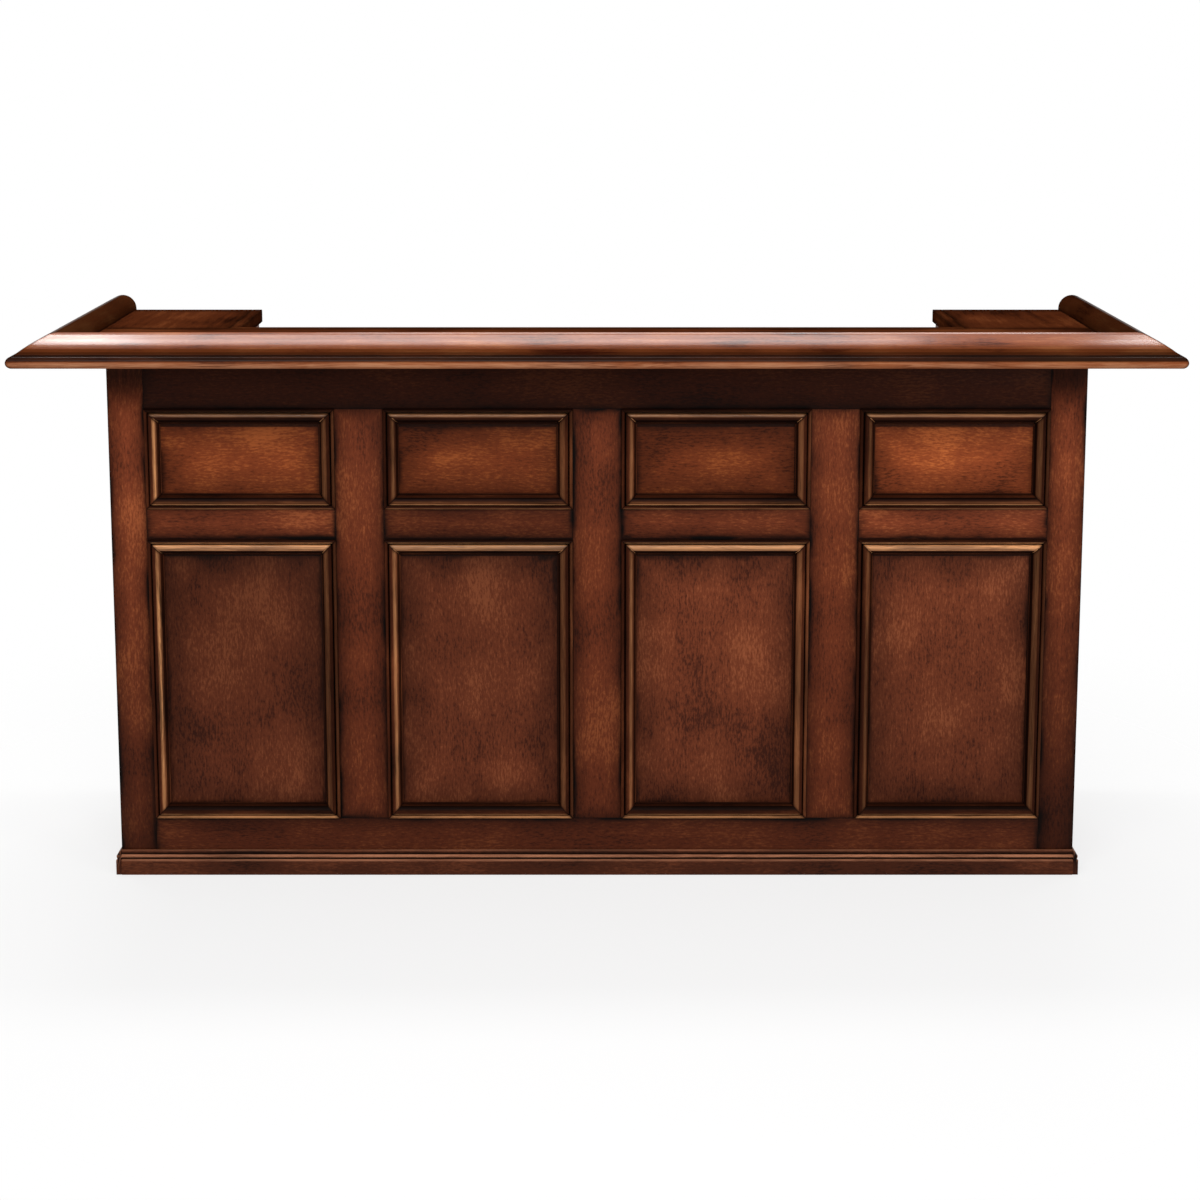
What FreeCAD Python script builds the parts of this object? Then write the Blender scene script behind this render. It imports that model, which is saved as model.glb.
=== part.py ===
import FreeCAD, Part
import math
import os
from FreeCAD import Vector

# Dry bar: a free-standing home bar with a panelled front, a U-shaped top and a serving side
# with drawers, cupboards, shelves, a stemware rack and a bottle rack.
# Millimetres. X runs along the bar, the guests' side faces -Y, Z is up, and the origin is the
# centre of the footprint on the floor.

# Front wall, from which the carcass takes its width and height
COLUMN_COUNT = 4
OPENING_WIDTH = 356.5
CORNER_STILE_WIDTH = 68.0
MULLION_WIDTH = 92.0
BOTTOM_RAIL_HEIGHT = 111.0
LOWER_OPENING_HEIGHT = 549.0
LOCK_RAIL_HEIGHT = 60.0
UPPER_OPENING_HEIGHT = 192.0
TOP_RAIL_HEIGHT = 98.0
FRAME_THICKNESS = 22.0
EDGE_EASE = 0.8

# Panels and the joints that hold them
PANEL_RECESS = 8.0
TONGUE_THICKNESS = 6.0
TONGUE_SETBACK = 3.0
TONGUE_DEPTH = 6.0
PANEL_FLOAT = 1.0

# Moulding round each panel, from its outer edge inwards
MOULDING_BEAD_RADIUS = 3.0
MOULDING_BEAD_LIFT = 1.5
MOULDING_GROOVE_WIDTH = 2.5
MOULDING_NOSE_RADIUS = 4.0
MOULDING_OVOLO_RADIUS = 12.0
MOULDING_OVOLO_SPRING = 4.0
MOULDING_FILLET_WIDTH = 4.5
MOULDING_FILLET_THICKNESS = 2.0

# End walls
CARCASS_DEPTH = 472.0
REAR_STILE_WIDTH = 68.0

# Bar top and its overhangs
SIDE_OVERHANG = 148.0
FRONT_OVERHANG = 148.0
REAR_OVERHANG = 28.0
DECK_THICKNESS = 26.0
FRONT_TOP_DEPTH = 375.0
WING_WIDTH = 365.0
EDGE_BAND_WIDTH = 20.0

# Arm rail section
RAIL_WIDTH = 102.0
RAIL_BODY_WIDTH = 52.0
LIP_THICKNESS = 22.0
LIP_NOSE = 8.0
LIP_LEDGE = 5.0
LIP_STEP = 2.0
HUMP_RADIUS = 28.0
HUMP_BACK_DROP = 3.0

# Base moulding section
PLINTH_HEIGHT = 31.0
PLINTH_THICKNESS = 10.0
PLINTH_ROUND = 3.0
BASE_NECK_THICKNESS = 5.0
BASE_GROOVE_HEIGHT = 2.5
BASE_BEAD_RADIUS = 3.75
BASE_CAP_HEIGHT = 7.0
BASE_CAP_THICKNESS = 3.5

# Serving side carcass
BOARD_THICKNESS = 18.0
TOE_HEIGHT = 62.0
TOE_SETBACK = 42.0
SIDE_BAY_WIDTH = 400.0
SERVICE_GAP = 120.0
COUNTER_THICKNESS = 22.0
COUNTER_NOSE = 12.0
COUNTER_ROUND = 6.0
WING_SUPPORT_SETBACK = 3.0

# Cleats that the tops are screwed to
TOP_CLEAT_HEIGHT = 40.0
TOP_CLEAT_THICKNESS = 20.0
COUNTER_CLEAT_HEIGHT = 20.0
COUNTER_CLEAT_THICKNESS = 12.0
CLEAT_SETBACK = 26.0
SCREW_SHANK_RADIUS = 2.0
SCREW_HEAD_RADIUS = 4.0
SCREW_HEAD_HEIGHT = 3.0
SCREW_BITE = 14.0
FRONT_SCREW_COUNT = 5
END_SCREW_COUNT = 2
SCREW_END_DISTANCE = 70.0

# Shelves and their pins
CUPBOARD_SHELF_RISE = 300.0
CENTRE_SHELF_RISE = 390.0
SHELF_SIDE_CLEARANCE = 1.0
SHELF_FRONT_GAP = 4.0
SHELF_SETBACK = 28.0
PIN_RADIUS = 2.5
PIN_REACH = 8.0
PIN_HOLE_DEPTH = 8.0
PIN_FRONT_DISTANCE = 24.0
PIN_REAR_DISTANCE = 46.0
PIN_HOLE_PITCH = 32.0
PIN_SPARE_STEPS = 2

# Stemware rack under the counter
STEMWARE_RAIL_COUNT = 5
STEMWARE_PITCH = 105.0
STEMWARE_WEB_WIDTH = 20.0
STEMWARE_WEB_HEIGHT = 24.0
STEMWARE_SLAT_WIDTH = 70.0
STEMWARE_SLAT_THICKNESS = 10.0
STEMWARE_LENGTH = 320.0
STEMWARE_SETBACK = 16.0

# Bottle rack on the bottom board
BOTTLE_CELL_COUNT = 8
BOTTLE_CELL_HEIGHT = 105.0
BOTTLE_DIVIDER_THICKNESS = 12.0
BOTTLE_RACK_DEPTH = 300.0
BOTTLE_RACK_SETBACK = 16.0

# Drawers and their guides
DRAWER_OPENING_HEIGHT = 140.0
FRONT_GAP = 2.0
DRAWER_FRONT_THICKNESS = 20.0
DRAWER_LENGTH = 416.0
DRAWER_SIDE_HEIGHT = 112.0
DRAWER_SIDE_THICKNESS = 12.0
DRAWER_BOTTOM_THICKNESS = 6.0
DRAWER_BOTTOM_RISE = 10.0
DRAWER_GROOVE = 5.0
RUNNING_CLEARANCE = 0.3
DIVIDER_DEPTH = 70.0
RUNNER_WIDTH = 30.0
STOP_WIDTH = 40.0
STOP_HEIGHT = 60.0

# Doors
DOOR_THICKNESS = 20.0
DOOR_STILE_WIDTH = 60.0
DOOR_PANEL_RECESS = 6.0
CATCH_WIDTH = 14.0
CATCH_DEPTH = 26.0
CATCH_HEIGHT = 30.0
CATCH_DROP = 20.0

# Butt hinges
HINGE_HEIGHT = 54.0
HINGE_END_DISTANCE = 90.0
HINGE_LEAF_THICKNESS = 1.5
HINGE_LEAF_WIDTH = 20.0
HINGE_KNUCKLE_RADIUS = 3.0
HINGE_PIN_RADIUS = 1.5
HINGE_BORE_CLEARANCE = 0.05
HINGE_FACE_CLEARANCE = 0.5
HINGE_KNUCKLE_GAP = 0.3
HINGE_CAP_RADIUS = 2.4
HINGE_CAP_HEIGHT = 2.0

# Knobs
KNOB_ROSE_RADIUS = 9.0
KNOB_ROSE_THICKNESS = 2.0
KNOB_NECK_RADIUS = 5.5
KNOB_NECK_LENGTH = 10.0
KNOB_HEAD_RADIUS = 14.0
KNOB_LENGTH = 24.0
DOOR_KNOB_DROP = 90.0

# Places worked out from the sizes above
CARCASS_WIDTH = (2 * CORNER_STILE_WIDTH + (COLUMN_COUNT - 1) * MULLION_WIDTH
                 + COLUMN_COUNT * OPENING_WIDTH)
LOWER_TOP = BOTTOM_RAIL_HEIGHT + LOWER_OPENING_HEIGHT
UPPER_BASE = LOWER_TOP + LOCK_RAIL_HEIGHT
UPPER_TOP = UPPER_BASE + UPPER_OPENING_HEIGHT
CARCASS_HEIGHT = UPPER_TOP + TOP_RAIL_HEIGHT
DECK_TOP = CARCASS_HEIGHT + DECK_THICKNESS
HALF_WIDTH = CARCASS_WIDTH / 2
HALF_TOP_WIDTH = HALF_WIDTH + SIDE_OVERHANG
TOP_DEPTH = FRONT_OVERHANG + CARCASS_DEPTH + REAR_OVERHANG
TOP_FRONT = -TOP_DEPTH / 2
TOP_BACK = TOP_DEPTH / 2
FACE_Y = TOP_FRONT + FRONT_OVERHANG
BACK_Y = FACE_Y + CARCASS_DEPTH
INNER_Y = FACE_Y + FRAME_THICKNESS
INNER_X = HALF_WIDTH - FRAME_THICKNESS
PARTITION_OUT = INNER_X - SIDE_BAY_WIDTH
PARTITION_IN = PARTITION_OUT - BOARD_THICKNESS
FLOOR_TOP = TOE_HEIGHT + BOARD_THICKNESS
COUNTER_TOP = CARCASS_HEIGHT - SERVICE_GAP
COUNTER_UNDER = COUNTER_TOP - COUNTER_THICKNESS
DRAWER_SILL = COUNTER_UNDER - DRAWER_OPENING_HEIGHT
DIVIDER_UNDER = DRAWER_SILL - BOARD_THICKNESS
DRAWER_FRONT_Y = BACK_Y - DRAWER_FRONT_THICKNESS
DRAWER_END_Y = DRAWER_FRONT_Y - DRAWER_LENGTH
DOOR_IN_Y = BACK_Y - DOOR_THICKNESS
DOOR_BASE = FLOOR_TOP + FRONT_GAP
DOOR_TOP = DIVIDER_UNDER - FRONT_GAP
DOOR_FREE_X = PARTITION_OUT + FRONT_GAP
DOOR_HINGE_X = INNER_X - FRONT_GAP
HINGE_X = INNER_X - FRONT_GAP / 2
HINGE_Y = BACK_Y + HINGE_FACE_CLEARANCE + HINGE_KNUCKLE_RADIUS
MOULDING_WIDTH = (2 * MOULDING_BEAD_RADIUS + MOULDING_GROOVE_WIDTH + MOULDING_NOSE_RADIUS
                  + MOULDING_OVOLO_RADIUS + MOULDING_FILLET_WIDTH)
MOULDING_HEIGHT = MOULDING_OVOLO_SPRING + MOULDING_OVOLO_RADIUS
GROOVE_DEPTH = TONGUE_DEPTH + PANEL_FLOAT
ROWS = [(BOTTOM_RAIL_HEIGHT, LOWER_TOP), (UPPER_BASE, UPPER_TOP)]


def block(x0, x1, y0, y1, z0, z1):
    """Return the box between two corners."""
    return Part.makeBox(x1 - x0, y1 - y0, z1 - z0, Vector(x0, y0, z0))


def eased_block(x0, x1, y0, y1, z0, z1):
    """Return a box whose outer face, at y0, has its four edges eased."""
    board = block(x0, x1, y0, y1, z0, z1)
    edges = [edge for edge in board.Edges
             if all(abs(vertex.Y - y0) < EDGE_EASE / 2 for vertex in edge.Vertexes)]
    return board.makeChamfer(EDGE_EASE, edges)


def peg(centre, radius, length, direction):
    """Return a cylinder that starts at a centre and runs along a direction."""
    return Part.makeCylinder(radius, length, centre, direction)


def on_circle(centre, radius, degrees):
    """Return the point of a circle at an angle, in the plane of a section."""
    angle = math.radians(degrees)
    return (centre[0] + radius * math.cos(angle), centre[1] + radius * math.sin(angle))


def section_face(start, steps, place):
    """Return the face of a closed section.

    Each step is one point, reached by a line, or two points, an arc through the first to the
    second. The section closes with a line, and place turns a section point into space.
    """
    edges = []
    last = start
    for step in steps + [(start,)]:
        if len(step) == 1:
            edges.append(Part.makeLine(place(*last), place(*step[0])))
        else:
            edges.append(Part.Arc(place(*last), place(*step[0]), place(*step[1])).toShape())
        last = step[-1]
    return Part.Face(Part.Wire(edges))


def prism(corners, direction):
    """Return the solid that a flat polygon sweeps along a direction."""
    return Part.Face(Part.makePolygon(corners + corners[:1])).extrude(direction)


def mirrored(shape):
    """Return the same shape at the other end of the bar."""
    return shape.mirror(Vector(0, 0, 0), Vector(1, 0, 0))


def save(name, solids):
    """Write one sub-part, made of one or more separate solids."""
    shape = solids[0] if len(solids) == 1 else Part.makeCompound(solids)
    shape.exportStep("parts/" + name + ".step")


def save_pair(name, solids):
    """Write a sub-part of the right end, and its mirror image at the left end."""
    save("right_" + name, solids)
    save("left_" + name, [mirrored(solid) for solid in solids])


class FramedWall:
    """A wall of grooved stiles and rails round floating panels.

    The wall stands on the XZ plane with its outer face at y = 0 and its thickness towards +Y.
    """

    def __init__(self, openings, thickness, recess):
        self.openings = openings
        self.thickness = thickness
        self.recess = recess
        self.tongue_y = recess + TONGUE_SETBACK
        self.cuts = [self.groove(*opening) for opening in openings]

    def tongue(self, x0, x1, z0, z1):
        """Return a plate as thick as the tongues, in the plane of the grooves."""
        return block(x0, x1, self.tongue_y, self.tongue_y + TONGUE_THICKNESS, z0, z1)

    def groove(self, x0, x1, z0, z1):
        """Return the space that the grooves round one opening take."""
        return self.tongue(x0 - GROOVE_DEPTH, x1 + GROOVE_DEPTH, z0 - GROOVE_DEPTH, z1 + GROOVE_DEPTH)

    def panel(self, x0, x1, z0, z1):
        """Return the panel of one opening, with its tongue all round."""
        gap = PANEL_FLOAT / 2
        field = block(x0 + gap, x1 - gap, self.recess, self.thickness, z0 + gap, z1 - gap)
        return field.fuse(self.tongue(x0 - TONGUE_DEPTH, x1 + TONGUE_DEPTH,
                                      z0 - TONGUE_DEPTH, z1 + TONGUE_DEPTH)).removeSplitter()

    def panels(self):
        """Return the panels of all openings, in order."""
        return [self.panel(*opening) for opening in self.openings]

    def member(self, x0, x1, z0, z1, tenons):
        """Return one stile or rail, with tenons at its ends along x, along z or nowhere.

        A mortise for each tenon is kept for the members that are made later.
        """
        solid = eased_block(x0, x1, 0, self.thickness, z0, z1)
        for cut in self.cuts:
            solid = solid.cut(cut)
        reaches = []
        if tenons == "x":
            low, high = z0 + GROOVE_DEPTH, z1 - GROOVE_DEPTH
            reaches = [(x0, -1, low, high), (x1, 1, low, high)]
        if tenons == "z":
            low, high = x0 + GROOVE_DEPTH, x1 - GROOVE_DEPTH
            reaches = [(z0, -1, low, high), (z1, 1, low, high)]
        for end, side, low, high in reaches:
            near, far = sorted((end, end + side * TONGUE_DEPTH))
            start, stop = sorted((end, end + side * GROOVE_DEPTH))
            if tenons == "x":
                solid = solid.fuse(self.tongue(near, far, low, high))
                self.cuts.append(self.tongue(start, stop, low, high))
            else:
                solid = solid.fuse(self.tongue(low, high, near, far))
                self.cuts.append(self.tongue(low, high, start, stop))
        return solid.removeSplitter()


def moulding_section(place):
    """Return the section of the panel moulding.

    The first measure runs inwards from the edge of the opening, the second outwards from the
    field of the panel.
    """
    bead_base = PANEL_RECESS + MOULDING_BEAD_LIFT
    bead_end = 2 * MOULDING_BEAD_RADIUS
    nose_start = bead_end + MOULDING_GROOVE_WIDTH
    crown = nose_start + MOULDING_NOSE_RADIUS
    ovolo_end = crown + MOULDING_OVOLO_RADIUS
    nose_centre = (crown, MOULDING_HEIGHT - MOULDING_NOSE_RADIUS)
    steps = [
        ((0, bead_base),),
        ((MOULDING_BEAD_RADIUS, bead_base + MOULDING_BEAD_RADIUS), (bead_end, bead_base)),
        ((bead_end + MOULDING_GROOVE_WIDTH / 2, PANEL_RECESS),),
        ((nose_start, bead_base),),
        ((nose_start, nose_centre[1]),),
        (on_circle(nose_centre, MOULDING_NOSE_RADIUS, 135), (crown, MOULDING_HEIGHT)),
        (on_circle((crown, MOULDING_OVOLO_SPRING), MOULDING_OVOLO_RADIUS, 45),
         (ovolo_end, MOULDING_OVOLO_SPRING)),
        ((ovolo_end, MOULDING_FILLET_THICKNESS),),
        ((MOULDING_WIDTH, MOULDING_FILLET_THICKNESS),),
        ((MOULDING_WIDTH, 0),),
    ]
    return section_face((0, 0), steps, place)


def moulding_frame(x0, x1, z0, z1):
    """Return the four mitred sticks of moulding round one opening of a wall at y = 0."""
    width = MOULDING_WIDTH
    outer = [(x0, z0), (x1, z0), (x1, z1), (x0, z1)]
    inner = [(x0 + width, z0 + width), (x1 - width, z0 + width),
             (x1 - width, z1 - width), (x0 + width, z1 - width)]
    along_x = Vector(x1 - x0, 0, 0)
    along_z = Vector(0, 0, z1 - z0)
    sticks = [
        moulding_section(lambda u, v: Vector(x0, PANEL_RECESS - v, z0 + u)).extrude(along_x),
        moulding_section(lambda u, v: Vector(x1 - u, PANEL_RECESS - v, z0)).extrude(along_z),
        moulding_section(lambda u, v: Vector(x0, PANEL_RECESS - v, z1 - u)).extrude(along_x),
        moulding_section(lambda u, v: Vector(x0 + u, PANEL_RECESS - v, z0)).extrude(along_z),
    ]
    front = PANEL_RECESS - 2 * MOULDING_HEIGHT
    depth = Vector(0, PANEL_RECESS - front, 0)
    mitred = []
    for side, stick in enumerate(sticks):
        following = (side + 1) % 4
        outline = [outer[side], outer[following], inner[following], inner[side]]
        corners = [Vector(x, front, z) for x, z in outline]
        mitred.append(stick.common(prism(corners, depth)))
    return mitred


def column_edges():
    """Return the left and right edge of each panel opening of the front wall."""
    first = -HALF_WIDTH + CORNER_STILE_WIDTH
    step = OPENING_WIDTH + MULLION_WIDTH
    return [(first + column * step, first + column * step + OPENING_WIDTH)
            for column in range(COLUMN_COUNT)]


def front_wall():
    """Write the panelled wall that faces the guests."""
    columns = column_edges()
    wall = FramedWall([column + row for column in columns for row in ROWS],
                      FRAME_THICKNESS, PANEL_RECESS)
    to_place = Vector(0, FACE_Y, 0)

    def placed(solids):
        return [solid.translated(to_place) for solid in solids]

    lock_rails = [wall.member(*column, LOWER_TOP, UPPER_BASE, "x") for column in columns]
    save("lock_rails", placed(lock_rails))
    for number in range(1, COLUMN_COUNT):
        left, right = columns[number - 1][1], columns[number][0]
        mullion = wall.member(left, right, BOTTOM_RAIL_HEIGHT, UPPER_TOP, "z")
        save(f"front_mullion_{number}", placed([mullion]))
    left, right = columns[0][0], columns[-1][1]
    bottom_rail = wall.member(left, right, 0, BOTTOM_RAIL_HEIGHT, "x")
    save("front_bottom_rail", placed([bottom_rail]))
    top_rail = wall.member(left, right, UPPER_TOP, CARCASS_HEIGHT, "x")
    save("front_top_rail", placed([top_rail]))
    left_stile = wall.member(-HALF_WIDTH, left, 0, CARCASS_HEIGHT, "none")
    save("front_left_stile", placed([left_stile]))
    right_stile = wall.member(right, HALF_WIDTH, 0, CARCASS_HEIGHT, "none")
    save("front_right_stile", placed([right_stile]))
    for number, column in enumerate(columns, start=1):
        lower, upper = [column + row for row in ROWS]
        save(f"lower_panel_{number}", placed([wall.panel(*lower)]))
        save(f"upper_panel_{number}", placed([wall.panel(*upper)]))
        save(f"panel_moulding_{number}", placed(moulding_frame(*lower) + moulding_frame(*upper)))


def pin_places():
    """Return the depth of the two rows of shelf pins."""
    return [INNER_Y + PIN_FRONT_DISTANCE, BACK_Y - PIN_REAR_DISTANCE]


def pin_heights(shelf_rise):
    """Return the heights of the holes for one shelf, the one in use in the middle."""
    used = FLOOR_TOP + shelf_rise - PIN_RADIUS
    return [used + step * PIN_HOLE_PITCH for step in range(-PIN_SPARE_STEPS, PIN_SPARE_STEPS + 1)]


def pin_holes(x, direction, shelf_rise):
    """Return the holes that one face of a wall has for the pins of a shelf."""
    return [peg(Vector(x, y, z), PIN_RADIUS, PIN_HOLE_DEPTH, Vector(direction, 0, 0))
            for y in pin_places() for z in pin_heights(shelf_rise)]


def without(solid, cuts):
    """Return a solid with each of the cuts taken out."""
    for cut in cuts:
        solid = solid.cut(cut)
    return solid


def end_walls():
    """Write the panelled walls at both ends of the bar, behind the front wall."""
    length = CARCASS_DEPTH - FRAME_THICKNESS
    front_stile = CORNER_STILE_WIDTH - FRAME_THICKNESS
    opening = (front_stile, length - REAR_STILE_WIDTH)
    wall = FramedWall([opening + row for row in ROWS], FRAME_THICKNESS, PANEL_RECESS)
    rails = [
        wall.member(*opening, 0, BOTTOM_RAIL_HEIGHT, "x"),
        wall.member(*opening, LOWER_TOP, UPPER_BASE, "x"),
        wall.member(*opening, UPPER_TOP, CARCASS_HEIGHT, "x"),
    ]
    stiles = [
        wall.member(0, front_stile, 0, CARCASS_HEIGHT, "none"),
        wall.member(opening[1], length, 0, CARCASS_HEIGHT, "none"),
    ]
    mouldings = []
    for row in ROWS:
        mouldings += moulding_frame(*(opening + row))

    def placed(solids):
        turned = []
        for solid in solids:
            copy = solid.copy()
            copy.rotate(Vector(0, 0, 0), Vector(0, 0, 1), 90)
            turned.append(copy.translated(Vector(HALF_WIDTH, INNER_Y, 0)))
        return turned

    holes = pin_holes(INNER_X, 1, CUPBOARD_SHELF_RISE)
    save_pair("end_frame", [without(solid, holes) for solid in placed(rails + stiles)])
    save_pair("end_panels", placed(wall.panels()))
    save_pair("end_mouldings", placed(mouldings))


def base_section(place):
    """Return the section of the base moulding: distance from the wall, then height."""
    bead_base = PLINTH_HEIGHT + BASE_GROOVE_HEIGHT
    bead_top = bead_base + 2 * BASE_BEAD_RADIUS
    top = bead_top + BASE_CAP_HEIGHT
    round_centre = (PLINTH_THICKNESS - PLINTH_ROUND, PLINTH_HEIGHT - PLINTH_ROUND)
    steps = [
        ((PLINTH_THICKNESS, 0),),
        ((PLINTH_THICKNESS, round_centre[1]),),
        (on_circle(round_centre, PLINTH_ROUND, 45), (round_centre[0], PLINTH_HEIGHT)),
        ((BASE_NECK_THICKNESS, PLINTH_HEIGHT),),
        ((BASE_NECK_THICKNESS, bead_base),),
        ((BASE_NECK_THICKNESS + BASE_BEAD_RADIUS, bead_base + BASE_BEAD_RADIUS),
         (BASE_NECK_THICKNESS, bead_top)),
        ((BASE_CAP_THICKNESS, bead_top),),
        ((BASE_CAP_THICKNESS, top),),
        ((0, top),),
    ]
    return section_face((0, 0), steps, place)


def base_mouldings():
    """Write the moulding at the foot of the front wall and of both end walls."""
    front = base_section(lambda d, z: Vector(-HALF_WIDTH, FACE_Y - d, z))
    save("front_base_moulding", [front.extrude(Vector(CARCASS_WIDTH, 0, 0))])
    side_start = FACE_Y - PLINTH_THICKNESS
    side = base_section(lambda d, z: Vector(HALF_WIDTH + d, side_start, z))
    save_pair("base_moulding", [side.extrude(Vector(0, BACK_Y - side_start, 0))])


def rail_section(place):
    """Return the section of the arm rail: inwards from its edge, then up from its underside."""
    ledge_end = LIP_NOSE + LIP_LEDGE
    toe = (ledge_end, LIP_THICKNESS + LIP_STEP)
    crown = (RAIL_WIDTH - HUMP_RADIUS, DECK_THICKNESS + HUMP_BACK_DROP)
    reach = math.hypot(crown[0] - toe[0], crown[1] - toe[1])
    slope = math.degrees(math.atan2(crown[1] - toe[1], crown[0] - toe[0]) + math.asin(HUMP_RADIUS / reach))
    brow = 90 + slope
    steps = [
        ((LIP_NOSE, 0),),
        ((0, LIP_THICKNESS / 2), (LIP_NOSE, LIP_THICKNESS)),
        ((ledge_end, LIP_THICKNESS),),
        (toe,),
        (on_circle(crown, HUMP_RADIUS, brow),),
        (on_circle(crown, HUMP_RADIUS, brow / 2), on_circle(crown, HUMP_RADIUS, 0)),
        ((RAIL_WIDTH, DECK_THICKNESS),),
        ((RAIL_BODY_WIDTH, DECK_THICKNESS),),
    ]
    return section_face((RAIL_BODY_WIDTH, 0), steps, place)


def arm_rails():
    """Write the arm rail of the front and both wings, mitred at the front corners."""
    height = Vector(0, 0, DECK_THICKNESS + HUMP_BACK_DROP + 2 * HUMP_RADIUS)
    outer, inner = HALF_TOP_WIDTH, HALF_TOP_WIDTH - RAIL_WIDTH
    near, far = TOP_FRONT, TOP_FRONT + RAIL_WIDTH

    def mitre(corners):
        return prism([Vector(x, y, CARCASS_HEIGHT) for x, y in corners], height)

    front = rail_section(lambda u, v: Vector(-outer, TOP_FRONT + u, CARCASS_HEIGHT + v))
    front = front.extrude(Vector(2 * outer, 0, 0))
    save("front_arm_rail",
         [front.common(mitre([(-outer, near), (outer, near), (inner, far), (-inner, far)]))])
    side = rail_section(lambda u, v: Vector(outer - u, TOP_FRONT, CARCASS_HEIGHT + v))
    side = side.extrude(Vector(0, TOP_DEPTH, 0))
    save_pair("arm_rail",
              [side.common(mitre([(outer, near), (outer, TOP_BACK), (inner, TOP_BACK), (inner, far)]))])


def screw_places():
    """Return where the screws of the top cleats stand, seen from above."""
    reach = wing_support_edges()[0] - SCREW_END_DISTANCE
    step = 2 * reach / (FRONT_SCREW_COUNT - 1)
    places = [(-reach + number * step, INNER_Y + TOP_CLEAT_THICKNESS / 2)
              for number in range(FRONT_SCREW_COUNT)]
    start = INNER_Y + SCREW_END_DISTANCE
    end = BACK_Y - CLEAT_SETBACK - SCREW_END_DISTANCE
    side_step = (end - start) / (END_SCREW_COUNT - 1)
    for side in (-1, 1):
        x = side * (INNER_X - TOP_CLEAT_THICKNESS / 2)
        places += [(x, start + number * side_step) for number in range(END_SCREW_COUNT)]
    return places


def screw_shanks():
    """Return the shanks of the screws that hold the top."""
    base = CARCASS_HEIGHT - TOP_CLEAT_HEIGHT
    length = TOP_CLEAT_HEIGHT + SCREW_BITE
    return [peg(Vector(x, y, base), SCREW_SHANK_RADIUS, length, Vector(0, 0, 1))
            for x, y in screw_places()]


def bar_top():
    """Write the boards of the top and the bands along their inner and rear edges."""
    deck_outer = HALF_TOP_WIDTH - RAIL_BODY_WIDTH
    wing_inner = HALF_TOP_WIDTH - WING_WIDTH
    band_end = wing_inner + EDGE_BAND_WIDTH
    front_edge = TOP_FRONT + FRONT_TOP_DEPTH
    band_start = front_edge - EDGE_BAND_WIDTH
    rear_band = TOP_BACK - EDGE_BAND_WIDTH
    levels = (CARCASS_HEIGHT, DECK_TOP)
    shanks = screw_shanks()
    front = block(-deck_outer, deck_outer, TOP_FRONT + RAIL_BODY_WIDTH, band_start, *levels)
    save("front_bar_top", [without(front, shanks)])
    wing = block(band_end, deck_outer, band_start, rear_band, *levels)
    save("right_bar_top", [without(wing, shanks)])
    save("left_bar_top", [without(mirrored(wing), shanks)])
    side_bands = [
        block(wing_inner, band_end, front_edge, TOP_BACK, *levels),
        block(band_end, deck_outer, rear_band, TOP_BACK, *levels),
    ]
    bands = [block(-band_end, band_end, band_start, front_edge, *levels)]
    bands += side_bands + [mirrored(band) for band in side_bands]
    save("edge_bands", bands)


def wing_support_edges():
    """Return the inner and outer face of the upright under the inner edge of a wing."""
    inner = HALF_TOP_WIDTH - WING_WIDTH + WING_SUPPORT_SETBACK
    return inner, inner + BOARD_THICKNESS


def cleats():
    """Write the cleats under the top and the counter, and the screws that hold the top."""
    support = wing_support_edges()[0]
    top_base = CARCASS_HEIGHT - TOP_CLEAT_HEIGHT
    cleat_end = BACK_Y - CLEAT_SETBACK
    shanks = screw_shanks()
    side_top = block(INNER_X - TOP_CLEAT_THICKNESS, INNER_X, INNER_Y, cleat_end,
                     top_base, CARCASS_HEIGHT)
    side_counter = block(INNER_X - COUNTER_CLEAT_THICKNESS, INNER_X, INNER_Y, cleat_end,
                         COUNTER_UNDER - COUNTER_CLEAT_HEIGHT, COUNTER_UNDER)
    strips = [
        block(-support, support, INNER_Y, INNER_Y + TOP_CLEAT_THICKNESS, top_base, CARCASS_HEIGHT),
        block(-PARTITION_IN, PARTITION_IN, INNER_Y, INNER_Y + TOP_CLEAT_THICKNESS,
              COUNTER_UNDER - TOP_CLEAT_HEIGHT, COUNTER_UNDER),
        side_top,
        mirrored(side_top),
        side_counter,
        mirrored(side_counter),
    ]
    save("cleats", [without(strip, shanks) for strip in strips])
    head_base = top_base - SCREW_HEAD_HEIGHT
    screws = []
    for (x, y), shank in zip(screw_places(), shanks):
        head = peg(Vector(x, y, head_base), SCREW_HEAD_RADIUS, SCREW_HEAD_HEIGHT, Vector(0, 0, 1))
        screws.append(head.fuse(shank))
    save("cleat_screws", screws)


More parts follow.
